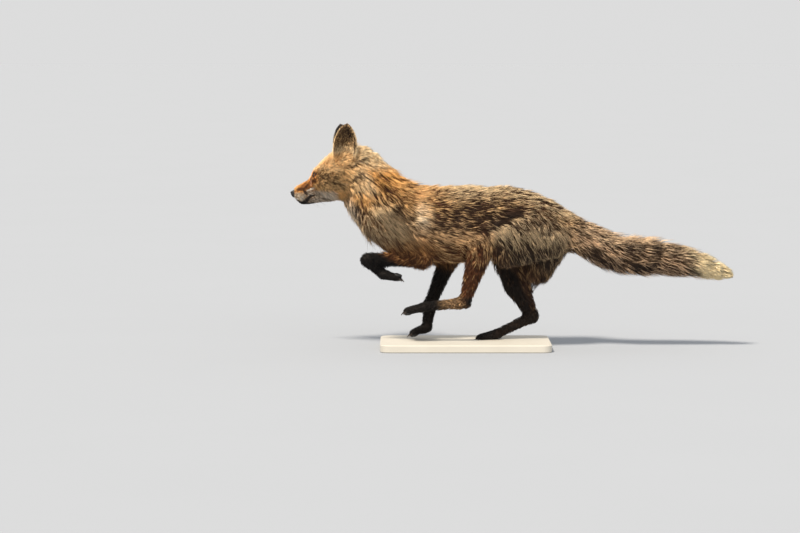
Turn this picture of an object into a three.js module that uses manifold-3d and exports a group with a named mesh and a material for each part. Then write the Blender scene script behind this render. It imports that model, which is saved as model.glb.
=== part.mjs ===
// A red fox, life size, as a still display model: it runs to -X with its two right feet on a flat
// board and its two left feet in swing. Millimetres, +Z up, its left side is -Y.
// The solids reach out to the tips of the coat. The body is one smooth field of tapered capsules
// and ellipsoids round a skeleton, cut into named pieces by outlines drawn in side view.

import * as THREE from "three";
import { mergeVertices } from "three/addons/utils/BufferGeometryUtils.js";
import Module from "manifold-3d";

const wasm = await Module();
wasm.setup();

// ---- Driving dimensions -------------------------------------------------------------------

const GAP = 0.35; // between neighbouring pieces
const FINEST = 0.03; // edges shorter than this are closed up
const BOARD = { length: 400, width: 236, thick: 18, corner: 22, bevel: 2, x: -112, y: 6, top: -7 };

// Bones, joint centre to joint centre.
const HUMERUS = 117;
const RADIUS = 127;
const METACARPUS = 50;
const FORE_TOES = 40;
const FEMUR = 127;
const TIBIA = 147;
const METATARSUS = 94;
const HIND_TOES = 46;

// The pose: each bone's swing from straight down in degrees, forward (to -X) positive, and how far
// out to the side the joint at its lower end lies. Heights are from a level a little above the board.
const POSE = {
  foreleg_left: {
    root: { x: -301, out: 42, z: 272 },
    bones: [[HUMERUS, -47.5, 50], [RADIUS, 87, 42], [METACARPUS, -47, 39], [FORE_TOES, -77, 38]],
  },
  foreleg_right: {
    root: { x: -252, out: 42, z: 243 },
    bones: [[HUMERUS, -62, 50], [RADIUS, 22, 41], [METACARPUS, 6, 37], [FORE_TOES, 70, 36]],
  },
  hindleg_left: {
    root: { x: 50, out: 38, z: 262 },
    bones: [[FEMUR, 74, 52], [TIBIA, 17, 42], [METATARSUS, 84, 38], [HIND_TOES, 76, 37]],
  },
  hindleg_right: {
    root: { x: 72, out: 40, z: 272 },
    bones: [[FEMUR, 43, 50], [TIBIA, -25, 40], [METATARSUS, 64, 36], [HIND_TOES, 78, 35]],
  },
};

// Stations of the back line from head to tail tip: x, z and the half height of the body there.
const NECK = [[-390, 393, 48], [-364, 397, 54], [-355, 368, 64], [-324, 336, 71], [-285, 295, 78]];
const TRUNK = [[-283, 293, 77], [-235, 270, 88], [-150, 268, 88], [-95, 269, 87],
  [-20, 278, 78], [35, 269, 73], [85, 258, 61], [118, 250, 46]];
const TAIL = [[112, 250, 37], [165, 237, 39], [204, 214, 45], [251, 197, 48.5], [298, 194, 48.5],
  [345, 190, 44.5], [392, 182, 39], [439, 171, 32], [478, 159, 23], [517, 148, 8]];
// The back of each thigh, from the knee, and the thickness of its calf.
const HAUNCH = {
  hindleg_left: { back: { x: 54, z: -26, radius: 36 }, calf: 26 },
  hindleg_right: { back: { x: 73, z: -17, radius: 43 }, calf: 34 },
};
// The width of each form over its height.
const FLAT = {
  neck: 0.82, trunk: 0.78, tail: 0.94, upperArm: 0.6, forearm: 0.9, thigh: 0.62, shank: 0.82,
  muzzle: 0.76,
};

// The head turns a little to the fox's right about the top of the neck.
const HEAD = { x: -384, z: 384, yaw: 12 };
const EYE = { x: -457.5, out: 20.5, z: 383, radius: 8.8 };
const NOSE = { x: -519.5, z: 338.5, radii: [8.5, 8.6, 9.4] };
const EAR = { height: 89, radius: 28, depth: 0.6, wall: 3, sides: 11 };
// An ear's outline from its root to its tip: half width and height, as shares of the full ones.
const EAR_OUTLINE = [[0, -0.2], [0.7, -0.16], [0.9, 0.02], [1, 0.3], [0.95, 0.55], [0.68, 0.78],
  [0.36, 0.93], [0, 1]];
const EARS = {
  ear_left: { x: -389, out: 36, z: 420, lean: 8, splay: 12, facing: 4 },
  ear_right: { x: -397, out: 35, z: 417, lean: -14.5, splay: 12, facing: 8 },
};
const HEAD_FORMS = {
  skull: { centre: [-405, 0, 387], radii: [54, 45, 50] },
  brow: { centre: [-447, 0, 381], radii: [28, 28, 26] },
  lips: { centre: [-492, 0, 334], radii: [25, 16.5, 15] },
  cheek: { centre: [-416, 29, 357], radii: [36, 31, 31] },
  zygoma: { centre: [-440, 22, 366], radii: [26, 19, 15] },
};
const MUZZLE = { from: [-450, 0, 357], to: [-503, 0, 343.5], radii: [30, 15.5] };
const CHIN = { from: [-436, 0, 341], to: [-494, 0, 325], radii: [22, 10] };
const CLAW = { length: 11, radius: 2.1, sides: 5 };
const TOE = { spread: 9.6, longer: 5, radius: 9.6, tip: 8 };

// Half thickness of the legs from joint to joint, and of the masses behind the thigh.
const FORELEG = { upper: [56, 32], forearm: [25, 15.5], pastern: [16, 13] };
const HINDLEG = { thigh: [56, 36], seat: 47, shin: 33, hock: 14.5, pastern: [14, 11.5] };
const CALF_AT = 0.42; // of the way from knee to hock
const SEAT = { back: 34, out: 34, down: 30 }; // from the hip joint to the rear of the haunch

// How softly forms run into each other: about the width of the fillet between them.
const FILLET = {
  toes: 3, paw: 6, shin: 8, hindleg: 12, foreleg: 14, tail: 14, legs: 15, head: 16, spine: 20,
  haunch: 26, body: 26,
};

const COLOURS = {
  coat: 0x8a6244, face: 0xb0753c, dark: 0x2a1e18, tailTip: 0xc0a080,
  ear: 0x2b2522, eye: 0x8a5a1c, nose: 0x191616, board: 0xcfcac0,
};

// ---- How the body is divided, in side view --------------------------------------------------
// The list runs from the extremities inwards: each piece takes what the ones before it leave.

// Cell sizes of the meshing grid along X, Y and Z: finer where the forms are smaller.
const CELL = {
  head: [13, 12.5, 12.5], jaw: [12.5, 11.5, 11.5], paw: [11, 9.8, 10], limb: [15, 14, 15],
  haunch: [27, 23, 26], neck: [30, 26, 26], trunk: [36, 28, 28], brush: [20, 15, 15],
};
const WIDE = { inner: -160, outer: 160 };
const REACH = [[-545, 545], [-125, 125], [-25, 480]]; // of the whole body along X, Y and Z
const PIECES = {
  jaw_lower: { cell: CELL.jaw, ...WIDE, colour: "face",
    outline: [[-545, 318], [-508, 322], [-490, 322], [-470, 334], [-450, 338], [-402, 330],
      [-402, 270], [-545, 270]] },
  head: { cell: CELL.head, ...WIDE, colour: "face",
    outline: [[-560, 262], [-402, 262], [-402, 324], [-352, 446], [-352, 560], [-560, 560]] },
  forepaw_left: { cell: CELL.paw, side: -1, inner: 8, outer: 90, colour: "dark",
    outline: [[-400, 215], [-352, 196], [-334, 172], [-312, 170], [-236, 164], [-236, 90], [-400, 90]] },
  forepaw_right: { cell: CELL.paw, side: 1, inner: 4, outer: 90, colour: "dark",
    outline: [[-290, -60], [-290, 66], [-150, 80], [-150, -60]] },
  hindpaw_left: { cell: CELL.paw, side: -1, inner: 4, outer: 90, colour: "dark",
    outline: [[-300, 20], [-300, 112], [-136, 112], [-130, 100], [-84, 62], [-84, 20]] },
  hindpaw_right: { cell: CELL.paw, side: 1, inner: 4, outer: 90, colour: "dark",
    outline: [[-140, -60], [-140, 70], [0, 76], [84, 40], [84, -60]] },
  forearm_left: { cell: CELL.limb, side: -1, inner: 20, outer: 110, colour: "coat",
    outline: [[-400, 100], [-400, 214], [-331, 214], [-317, 206], [-238, 202], [-224, 160], [-224, 100]] },
  forearm_right: { cell: CELL.limb, side: 1, inner: 8, outer: 110, colour: "coat",
    outline: [[-262, 40], [-225, 182], [-112, 166], [-120, 40]] },
  upper_arm_left: { cell: CELL.haunch, side: -1, inner: 40, outer: 150, tilt: 9, colour: "coat",
    outline: [[-342, 262], [-262, 346], [-176, 340], [-160, 200], [-188, 140], [-262, 140], [-340, 190]] },
  upper_arm_right: { cell: CELL.haunch, side: 1, inner: 40, outer: 150, tilt: 9, colour: "coat",
    outline: [[-320, 262], [-235, 346], [-150, 340], [-104, 200], [-112, 150], [-250, 150], [-310, 190]] },
  shank_left: { cell: CELL.limb, side: -1, inner: 16, outer: 110, colour: "coat",
    outline: [[-150, 30], [-150, 206], [-110, 202], [-24, 150], [-24, 30]] },
  shank_right: { cell: CELL.limb, side: 1, inner: 14, outer: 110, colour: "coat",
    outline: [[-86, 10], [-86, 172], [46, 128], [120, 112], [120, 10]] },
  thigh_left: { cell: CELL.haunch, side: -1, inner: 30, outer: 150, tilt: 12, colour: "coat",
    outline: [[-120, 200], [-120, 240], [-62, 270], [8, 320], [104, 324], [138, 240], [118, 100],
      [-10, 100]] },
  thigh_right: { cell: CELL.haunch, side: 1, inner: 30, outer: 150, tilt: 12, colour: "coat",
    outline: [[-95, 150], [-95, 205], [-56, 246], [8, 320], [104, 324], [138, 240], [118, 96], [-10, 96]] },
  neck: { cell: CELL.neck, ...WIDE, colour: "face",
    outline: [[-470, 190], [-338, 190], [-246, 385], [-246, 500], [-470, 500]] },
  chest: { cell: CELL.trunk, ...WIDE, colour: "coat",
    outline: [[-400, 90], [-135, 90], [-135, 430], [-400, 430]] },
  loin: { cell: CELL.trunk, ...WIDE, colour: "coat",
    outline: [[-136, 90], [-8, 90], [-8, 430], [-136, 430]] },
  rump: { cell: CELL.trunk, ...WIDE, colour: "coat",
    outline: [[-9, 60], [118, 60], [150, 190], [112, 330], [-9, 430]] },
  tail: { cell: CELL.trunk, ...WIDE, colour: "coat",
    outline: [[90, 340], [90, 90], [385, 70], [405, 290]] },
  tail_tip: { cell: CELL.brush, ...WIDE, colour: "tailTip",
    outline: [[380, 70], [560, 60], [560, 290], [400, 290]] },
};

// ---- Fields: negative inside, about a distance in millimetres --------------------------------

const mix = (a, b, t) => a + (b - a) * t;

// A round bar from a to b whose radius goes from ra to rb; flat under 1 narrows it across Y.
function capsule(a, b, ra, rb, flat = 1) {
  const d = [b[0] - a[0], b[1] - a[1], b[2] - a[2]];
  const lengthSq = d[0] ** 2 + d[1] ** 2 + d[2] ** 2;
  return ([x, y, z]) => {
    const along = ((x - a[0]) * d[0] + (y - a[1]) * d[1] + (z - a[2]) * d[2]) / lengthSq;
    const t = Math.min(1, Math.max(0, along));
    const dx = x - a[0] - t * d[0];
    const dy = (y - a[1] - t * d[1]) / flat;
    const dz = z - a[2] - t * d[2];
    return Math.hypot(dx, dy, dz) - mix(ra, rb, t);
  };
}

function ellipsoid(centre, radii) {
  return (p) => {
    const q = p.map((v, i) => (v - centre[i]) / radii[i]);
    const far = Math.hypot(...q);
    return (far * (far - 1)) / Math.max(1e-6, Math.hypot(...q.map((v, i) => v / radii[i])));
  };
}

// Capsules along stations [x, z, radius] in the middle plane.
function chain(stations, flat) {
  return stations.slice(1).map(([x, z, r], i) => {
    const [x0, z0, r0] = stations[i];
    return capsule([x0, 0, z0], [x, 0, z], r0, r, flat);
  });
}

// Joins fields with a soft fillet about k wide.
function join(fields, k) {
  return (p) => fields.reduce((sum, field) => {
    const d = field(p);
    const h = Math.max(k - Math.abs(sum - d), 0) / k;
    return Math.min(sum, d) - (h * h * k) / 4;
  }, 1e3);
}

const sideOf = (name) => (name.endsWith("_left") ? -1 : 1);

// The joints of one leg, from its root down to the toe tips.
function jointsOf(name) {
  const side = sideOf(name);
  const { root, bones } = POSE[name];
  const joints = [[root.x, side * root.out, root.z]];
  for (const [length, swing, out] of bones) {
    const [x, , z] = joints.at(-1);
    const a = THREE.MathUtils.degToRad(swing);
    joints.push([x - length * Math.sin(a), side * out, z - length * Math.cos(a)]);
  }
  return joints;
}

// Four toes side by side from the knuckle to the tips, the middle two longer.
function toesOf(knuckle, tip) {
  const reach = Math.hypot(tip[0] - knuckle[0], tip[2] - knuckle[2]);
  const ahead = [(tip[0] - knuckle[0]) / reach, 0, (tip[2] - knuckle[2]) / reach];
  return [-1.5, -0.5, 0.5, 1.5].map((place) => {
    const extra = Math.abs(place) < 1 ? TOE.longer : 0;
    const start = [knuckle[0], knuckle[1] + place * TOE.spread * 0.8, knuckle[2]];
    const end = [0, 1, 2].map((i) => tip[i] + ahead[i] * (extra - TOE.tip));
    end[1] += place * TOE.spread;
    return { start, end, ahead };
  });
}

function forelegField(name) {
  const [shoulder, elbow, wrist, knuckle, tip] = jointsOf(name);
  const leg = join([
    capsule(shoulder, elbow, ...FORELEG.upper, FLAT.upperArm),
    capsule(elbow, wrist, ...FORELEG.forearm, FLAT.forearm),
    capsule(wrist, knuckle, ...FORELEG.pastern),
  ], FILLET.foreleg);
  return join([leg, toeField(knuckle, tip, 1.5)], FILLET.paw);
}

function hindlegField(name) {
  const [hip, knee, hock, knuckle, tip] = jointsOf(name);
  const side = sideOf(name);
  const { back, calf } = HAUNCH[name];
  const calfAt = [0, 1, 2].map((i) => mix(knee[i], hock[i], CALF_AT));
  const seatAt = [hip[0] + SEAT.back, side * SEAT.out, hip[2] - SEAT.down];
  const backAt = [knee[0] + back.x, knee[1] - side * 5, knee[2] + back.z];
  const thigh = join([
    capsule(hip, knee, ...HINDLEG.thigh, FLAT.thigh),
    capsule(seatAt, backAt, HINDLEG.seat, back.radius, FLAT.thigh),
  ], FILLET.haunch);
  const shin = join([
    capsule(knee, calfAt, HINDLEG.shin, calf, FLAT.shank),
    capsule(calfAt, hock, calf, HINDLEG.hock, FLAT.shank),
  ], FILLET.shin);
  const leg = join([thigh, shin, capsule(hock, knuckle, ...HINDLEG.pastern)], FILLET.hindleg);
  return join([leg, toeField(knuckle, tip, 1)], FILLET.paw);
}

// The four toes of a paw, thicker by some extra at the knuckles.
function toeField(knuckle, tip, extra) {
  const toes = toesOf(knuckle, tip);
  return join(toes.map((t) => capsule(t.start, t.end, TOE.radius + extra, TOE.tip)), FILLET.toes);
}

// The head is described looking straight along -X and then turned.
const turnHead = new THREE.Matrix4().makeTranslation(HEAD.x, 0, HEAD.z)
  .multiply(new THREE.Matrix4().makeRotationZ(THREE.MathUtils.degToRad(-HEAD.yaw)))
  .multiply(new THREE.Matrix4().makeTranslation(-HEAD.x, 0, -HEAD.z));
const unturnHead = turnHead.clone().invert();

const onSide = ({ centre: [x, y, z], radii }, side) => ellipsoid([x, side * y, z], radii);
const bar = ({ from, to, radii }, flat) => capsule(from, to, ...radii, flat);

function headField() {
  const middle = [HEAD_FORMS.skull, HEAD_FORMS.brow].map((form) => onSide(form, 1));
  const cheeks = [-1, 1].map((side) => onSide(HEAD_FORMS.cheek, side));
  const zygoma = [-1, 1].map((side) => onSide(HEAD_FORMS.zygoma, side));
  const jaws = [bar(MUZZLE, FLAT.muzzle), onSide(HEAD_FORMS.lips, 1), bar(CHIN, FLAT.muzzle)];
  const whole = join([...middle, ...cheeks, ...jaws, ...zygoma], FILLET.head);
  const v = new THREE.Vector3();
  return (p) => whole(v.set(...p).applyMatrix4(unturnHead).toArray());
}

const body = join([
  join(chain(TRUNK, FLAT.trunk), FILLET.spine),
  join(chain(NECK, FLAT.neck), FILLET.spine),
  headField(),
  join(chain(TAIL, FLAT.tail), FILLET.tail),
], FILLET.body);
const flesh = join([
  body, forelegField("foreleg_left"), forelegField("foreleg_right"),
  hindlegField("hindleg_left"), hindlegField("hindleg_right"),
], FILLET.legs);

// ---- Solids ---------------------------------------------------------------------------------

// A closed geometry as a solid that can be joined and cut.
function solid(geometry) {
  const plain = new THREE.BufferGeometry();
  const source = geometry.index ? geometry.toNonIndexed() : geometry;
  plain.setAttribute("position", source.getAttribute("position"));
  const merged = mergeVertices(plain, 1e-3);
  return new wasm.Manifold(new wasm.Mesh({
    numProp: 3,
    vertProperties: merged.attributes.position.array,
    triVerts: new Uint32Array(merged.index.array),
    tolerance: FINEST,
  }));
}

const moved = (geometry, matrix) => geometry.clone().applyMatrix4(matrix);

// The surface of a field inside a box, as a closed mesh with one vertex in each cell it crosses.
function surface(field, low, high, cell) {
  const count = low.map((v, i) => Math.ceil((high[i] - v) / cell[i]) + 1);
  const at = (place) => place.map((n, axis) => low[axis] + n * cell[axis]);
  const index = ([i, j, k]) => (k * count[1] + j) * count[0] + i;
  const value = new Float64Array(count[0] * count[1] * count[2]);
  forEachPlace(count, (place) => {
    const rim = place.some((n, axis) => n === 0 || n === count[axis] - 1);
    value[index(place)] = rim ? cell[0] : field(at(place));
  });
  fillCheckers(value, count, index);

  const vertexOf = new Map();
  const positions = [];
  forEachPlace(count.map((n) => n - 1), (place) => {
    const corners = CORNERS.map((c) => c.map((bit, axis) => place[axis] + bit));
    const crossing = crossingOf(corners.map(at), corners.map((c) => value[index(c)]));
    if (!crossing) return;
    vertexOf.set(index(place), positions.length / 3);
    positions.push(...settle(field, crossing, Math.min(...cell)));
  });

  const faces = [];
  forEachPlace(count.map((n) => n - 1), (place) => {
    for (let axis = 0; axis < 3; axis++) {
      const here = value[index(place)];
      const next = value[index(stepped(place, [axis], 1))];
      if (here < 0 === next < 0) continue;
      const u = (axis + 1) % 3;
      const w = (axis + 2) % 3;
      const round = [[], [u], [u, w], [w]];
      const quad = round.map((axes) => vertexOf.get(index(stepped(place, axes, -1))));
      if (here >= 0) quad.reverse();
      faces.push(...twoTriangles(quad, positions));
    }
  });
  const geometry = new THREE.BufferGeometry();
  geometry.setAttribute("position", new THREE.Float32BufferAttribute(positions, 3));
  geometry.setIndex(faces);
  return geometry;
}

const CORNERS = [0, 1, 2, 3, 4, 5, 6, 7].map((c) => [c & 1, (c >> 1) & 1, c >> 2]);
const stepped = (place, axes, by) => place.map((n, axis) => (axes.includes(axis) ? n + by : n));

function forEachPlace(count, visit) {
  for (let k = 0; k < count[2]; k++)
    for (let j = 0; j < count[1]; j++)
      for (let i = 0; i < count[0]; i++) visit([i, j, k]);
}

// Fills one corner of each grid square whose inside corners only touch across its diagonal, so that
// no edge of the surface is shared by more than two faces.
function fillCheckers(value, count, index) {
  const pairs = [[0, 1], [1, 2], [2, 0]];
  let changed = true;
  while (changed) {
    changed = false;
    forEachPlace(count.map((n) => n - 1), (place) => {
      for (const [u, w] of pairs) {
        const square = [[], [u], [u, w], [w]].map((axes) => index(stepped(place, axes, 1)));
        const inside = square.map((n) => value[n] < 0);
        if (inside[0] !== inside[2] || inside[1] !== inside[3] || inside[0] === inside[1]) continue;
        value[inside[0] ? square[1] : square[0]] = -0.01;
        changed = true;
      }
    });
  }
}

// The mean of the points where the surface crosses the edges of a cell, or null where it doesn't.
function crossingOf(points, values) {
  const sum = new THREE.Vector3();
  let crossed = 0;
  for (let a = 0; a < 8; a++)
    for (const bit of [1, 2, 4]) {
      const b = a | bit;
      if (b === a || values[a] < 0 === values[b] < 0) continue;
      const t = values[a] / (values[a] - values[b]);
      sum.add(new THREE.Vector3(...points[a]).lerp(new THREE.Vector3(...points[b]), t));
      crossed += 1;
    }
  return crossed ? sum.divideScalar(crossed).toArray() : null;
}

// A quad cut along its shorter diagonal.
function twoTriangles([a, b, c, d], positions) {
  const point = (n) => new THREE.Vector3().fromArray(positions, 3 * n);
  const short = point(a).distanceTo(point(c)) < point(b).distanceTo(point(d));
  return short ? [a, b, c, a, c, d] : [b, c, d, b, d, a];
}

// Moves a point onto the field's surface, by at most half a cell.
function settle(field, point, cell) {
  const value = field(point);
  if (Math.abs(value) > cell / 2) return point;
  const slope = [0, 1, 2].map((i) => field(point.map((v, j) => (j === i ? v + 0.5 : v))) - value);
  const steep = Math.hypot(...slope) * 2;
  if (steep < 0.2) return point;
  return point.map((v, i) => v - (value * slope[i] * 2) / (steep * steep));
}

// An outline [x, z] grown outwards by a distance, for a cut that leaves a gap.
function grown(outline, by) {
  const n = outline.length;
  const turn = THREE.ShapeUtils.area(outline.map(([x, z]) => new THREE.Vector2(x, z))) > 0 ? 1 : -1;
  const outward = (a, b) => {
    const d = Math.hypot(b[0] - a[0], b[1] - a[1]);
    return [(turn * (b[1] - a[1])) / d, (-turn * (b[0] - a[0])) / d];
  };
  return outline.map((p, i) => {
    const before = outward(outline[(i + n - 1) % n], p);
    const after = outward(p, outline[(i + 1) % n]);
    const scale = by / (1 + before[0] * after[0] + before[1] * after[1]);
    return [p[0] + (before[0] + after[0]) * scale, p[1] + (before[1] + after[1]) * scale];
  });
}

// A block with a side-view outline between two widths, tilted about X so that its top leans out.
function block({ outline, inner, outer, tilt = 0, side = 1 }, grow = 0) {
  const shape = new THREE.Shape(grown(outline, grow).map(([x, z]) => new THREE.Vector2(x, z)));
  const depth = outer - inner + 2 * grow;
  const geometry = new THREE.ExtrudeGeometry(shape, { depth, bevelEnabled: false });
  geometry.rotateX(Math.PI / 2);
  geometry.translate(0, outer + grow, 0);
  const middle = outline.reduce((s, p) => s + p[1] / outline.length, 0);
  const lean = new THREE.Matrix4().makeTranslation(0, inner, middle)
    .multiply(new THREE.Matrix4().makeRotationX(THREE.MathUtils.degToRad(-tilt)))
    .multiply(new THREE.Matrix4().makeTranslation(0, -inner, -middle));
  geometry.applyMatrix4(lean);
  return solid(side > 0 ? geometry : mirrored(geometry));
}

// The same shape on the other side of the middle plane, its faces still pointing out.
function mirrored(geometry) {
  const flipped = geometry.clone().scale(1, -1, 1);
  const points = flipped.getAttribute("position");
  for (let i = 0; i < points.count; i += 3) {
    const a = new THREE.Vector3().fromBufferAttribute(points, i + 1);
    const b = new THREE.Vector3().fromBufferAttribute(points, i + 2);
    points.setXYZ(i + 1, ...b);
    points.setXYZ(i + 2, ...a);
  }
  return flipped;
}

// ---- Cutting the pieces out of the body ------------------------------------------------------

// The box that the meshing grid of a piece covers.
function extentOf(piece) {
  const xs = piece.outline.map((p) => p[0]);
  const zs = piece.outline.map((p) => p[1]);
  const side = piece.side ?? 1;
  const lean = piece.tilt ? 40 : 0;
  const ys = [side * (piece.inner - lean), side * (piece.outer + lean)].sort((a, b) => a - b);
  const pad = 2.2 * Math.max(...piece.cell);
  const sides = [[Math.min(...xs), Math.max(...xs)], ys, [Math.min(...zs), Math.max(...zs)]];
  return {
    low: sides.map(([low], axis) => Math.max(low, REACH[axis][0]) - pad),
    high: sides.map(([, high], axis) => Math.min(high, REACH[axis][1]) + pad),
  };
}

// ---- Small parts of the head and feet --------------------------------------------------------

const ball = (radii, centre, grow = 0) => {
  const geometry = new THREE.SphereGeometry(1, 11, 7);
  geometry.scale(...radii.map((r) => r + grow));
  geometry.rotateX(Math.PI / 2);
  return moved(geometry.translate(...centre), turnHead);
};

const eyeAt = (side, grow) =>
  ball([EYE.radius, EYE.radius, EYE.radius], [EYE.x, side * EYE.out, EYE.z], grow);
const noseAt = (grow) => ball(NOSE.radii, [NOSE.x, 0, NOSE.z], grow);

// A pointed cup: a lathe turned from the ear's outline, squashed in depth, less a smaller one.
function earSolid({ x, out, z, lean, splay, facing }, side) {
  const cup = (radius, height) => new THREE.LatheGeometry(
    EAR_OUTLINE.map(([r, h]) => new THREE.Vector2(r * radius, h * height)), EAR.sides);
  const outer = cup(EAR.radius, EAR.height).scale(1, 1, EAR.depth);
  const inner = cup(EAR.radius - EAR.wall, EAR.height - 2.5 * EAR.wall)
    .scale(1, 1, EAR.depth * 1.1).translate(0, EAR.wall, 1.5 * EAR.wall);
  const turn = THREE.MathUtils.degToRad;
  // In the lathe's own frame the opening faces +Z; it is turned to face outwards, then aimed.
  const whole = turnHead.clone()
    .multiply(new THREE.Matrix4().makeTranslation(x, side * out, z))
    .multiply(new THREE.Matrix4().makeRotationY(turn(lean)))
    .multiply(new THREE.Matrix4().makeRotationX(turn(-side * splay)))
    .multiply(new THREE.Matrix4().makeRotationZ(turn(side > 0 ? 180 - facing : facing)))
    .multiply(new THREE.Matrix4().makeRotationX(Math.PI / 2));
  return solid(moved(outer, whole)).subtract(solid(moved(inner, whole)));
}

function clawSolids(name) {
  const joints = jointsOf(name);
  return toesOf(joints[3], joints[4]).map(({ end, ahead }) => {
    const claw = new THREE.ConeGeometry(CLAW.radius, CLAW.length, CLAW.sides);
    const droop = new THREE.Vector3(ahead[0], 0, ahead[2] - 0.35).normalize();
    claw.translate(0, CLAW.length / 2, 0);
    claw.applyQuaternion(new THREE.Quaternion().setFromUnitVectors(new THREE.Vector3(0, 1, 0), droop));
    const from = end.map((v, i) => v + droop.getComponent(i) * (TOE.tip - 3));
    return solid(claw.translate(...from));
  });
}

// ---- Assembly ---------------------------------------------------------------------------------

const fox = new THREE.Group();

function addMesh(name, made, colour, roughness = 0.85) {
  const { vertProperties, triVerts, numProp } = made.getMesh();
  const position = new Float32Array((vertProperties.length / numProp) * 3);
  for (let i = 0; i < position.length / 3; i++)
    position.set(vertProperties.subarray(i * numProp, i * numProp + 3), i * 3);
  const geometry = new THREE.BufferGeometry();
  geometry.setAttribute("position", new THREE.BufferAttribute(position, 3));
  geometry.setIndex(new THREE.BufferAttribute(new Uint32Array(triVerts), 1));
  const material = new THREE.MeshStandardMaterial({ color: COLOURS[colour], roughness, metalness: 0 });
  const mesh = new THREE.Mesh(geometry, material);
  mesh.name = name;
  fox.add(mesh);
}

// The board's top, and all below it, as a block that trims the feet flat.
const groundLine = BOARD.top + GAP;
const ground = block({ outline: [[-600, groundLine], [600, groundLine], [600, -90], [-600, -90]], ...WIDE });

function addBody() {
  const taken = [];
  const legOf = {
    forepaw_left: "foreleg_left", forepaw_right: "foreleg_right",
    hindpaw_left: "hindleg_left", hindpaw_right: "hindleg_right",
  };
  for (const [name, piece] of Object.entries(PIECES)) {
    const { low, high } = extentOf(piece);
    let made = solid(surface(flesh, low, high, piece.cell)).intersect(block(piece));
    if (legOf[name]) made = clawSolids(legOf[name]).reduce((paw, claw) => paw.add(claw), made);
    for (const other of taken) made = made.subtract(other);
    made = made.subtract(ground);
    if (name === "head" || name === "jaw_lower") {
      made = made.subtract(solid(noseAt(GAP)));
      for (const side of [-1, 1]) made = made.subtract(solid(eyeAt(side, GAP)));
    }
    const largest = made.decompose().sort((a, b) => b.volume() - a.volume())[0];
    addMesh(name, largest, piece.colour);
    taken.push(block(piece, GAP));
  }
}

function addHeadParts() {
  addMesh("nose", solid(noseAt(0)), "nose", 0.45);
  const headBox = [[-560, -110, 300], [-330, 110, 480]];
  const swollen = solid(surface((p) => flesh(p) - 2 * GAP, ...headBox, PIECES.head.cell));
  for (const [name, ear] of Object.entries(EARS))
    addMesh(name, earSolid(ear, sideOf(name)).subtract(swollen), "ear");
  addMesh("eye_left", solid(eyeAt(-1, 0)), "eye", 0.08);
  addMesh("eye_right", solid(eyeAt(1, 0)), "eye", 0.08);
}

function addBoard() {
  const { length, width, thick, corner, bevel, x, y, top } = BOARD;
  const a = length / 2 - bevel;
  const b = width / 2 - bevel;
  const shape = new THREE.Shape();
  [[a, -b, -90], [a, b, 0], [-a, b, 90], [-a, -b, 180]].forEach(([cx, cy, start]) => {
    const from = THREE.MathUtils.degToRad(start);
    shape.absarc(cx - Math.sign(cx) * corner, cy - Math.sign(cy) * corner, corner, from, from + Math.PI / 2);
  });
  const geometry = new THREE.ExtrudeGeometry(shape, {
    depth: thick - 2 * bevel, bevelThickness: bevel, bevelSize: bevel, bevelSegments: 1, curveSegments: 3,
  });
  addMesh("stand_base", solid(geometry.translate(x, y, top + bevel - thick)), "board", 0.7);
}

addBody();
addHeadParts();
addBoard();

// The origin goes to the middle of the model's box, at the board's underside.
const bounds = new THREE.Box3().setFromObject(fox);
const centre = bounds.getCenter(new THREE.Vector3());
fox.position.set(-centre.x, -centre.y, -bounds.min.z);

export default fox;
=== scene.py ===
"""A red fox as a life-size display model: one skin, a coat of joined tufts that follow the lie of the fur,
and separate eyes, nose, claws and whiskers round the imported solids. Tables are in millimetres, in the
solids' own working frame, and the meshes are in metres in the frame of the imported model."""

import math
from functools import partial
from itertools import product

import bmesh
import bpy
import numpy as np
from mathutils import Matrix, Vector
from mathutils.kdtree import KDTree


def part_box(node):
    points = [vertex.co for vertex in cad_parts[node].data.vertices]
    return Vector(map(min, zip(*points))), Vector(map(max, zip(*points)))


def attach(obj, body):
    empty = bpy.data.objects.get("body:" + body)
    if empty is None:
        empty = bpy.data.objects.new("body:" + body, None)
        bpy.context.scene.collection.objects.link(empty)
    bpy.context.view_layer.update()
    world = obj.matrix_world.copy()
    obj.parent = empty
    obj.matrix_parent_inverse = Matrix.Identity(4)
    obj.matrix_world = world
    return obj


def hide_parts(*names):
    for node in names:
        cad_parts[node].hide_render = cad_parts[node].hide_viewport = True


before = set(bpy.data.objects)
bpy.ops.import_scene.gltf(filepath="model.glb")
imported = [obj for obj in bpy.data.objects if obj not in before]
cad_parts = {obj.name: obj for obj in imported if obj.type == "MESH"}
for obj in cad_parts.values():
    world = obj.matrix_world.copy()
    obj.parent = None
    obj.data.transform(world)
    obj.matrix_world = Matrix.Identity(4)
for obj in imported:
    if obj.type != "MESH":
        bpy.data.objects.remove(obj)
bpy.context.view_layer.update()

# ---- Driving dimensions, in millimetres -------------------------------------------------------

BOARD_CENTRE = (-112.0, 6.0)
BOARD_TOP = -7.0
SOLE_GAP = 0.35

# Each leg: its root joint (x, out, z), then bone length, swing from straight down and how far out it ends.
LEGS = {
    "foreleg_left": ((-301, 42, 272), [(117, -47.5, 50), (127, 87, 42), (50, -47, 39), (40, -77, 38)]),
    "foreleg_right": ((-252, 42, 243), [(117, -62, 50), (127, 22, 41), (50, 6, 37), (40, 70, 36)]),
    "hindleg_left": ((50, 38, 262), [(127, 74, 52), (147, 17, 42), (94, 84, 38), (46, 76, 37)]),
    "hindleg_right": ((72, 40, 272), [(127, 43, 50), (147, -25, 40), (94, 64, 36), (46, 78, 35)]),
}
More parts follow.
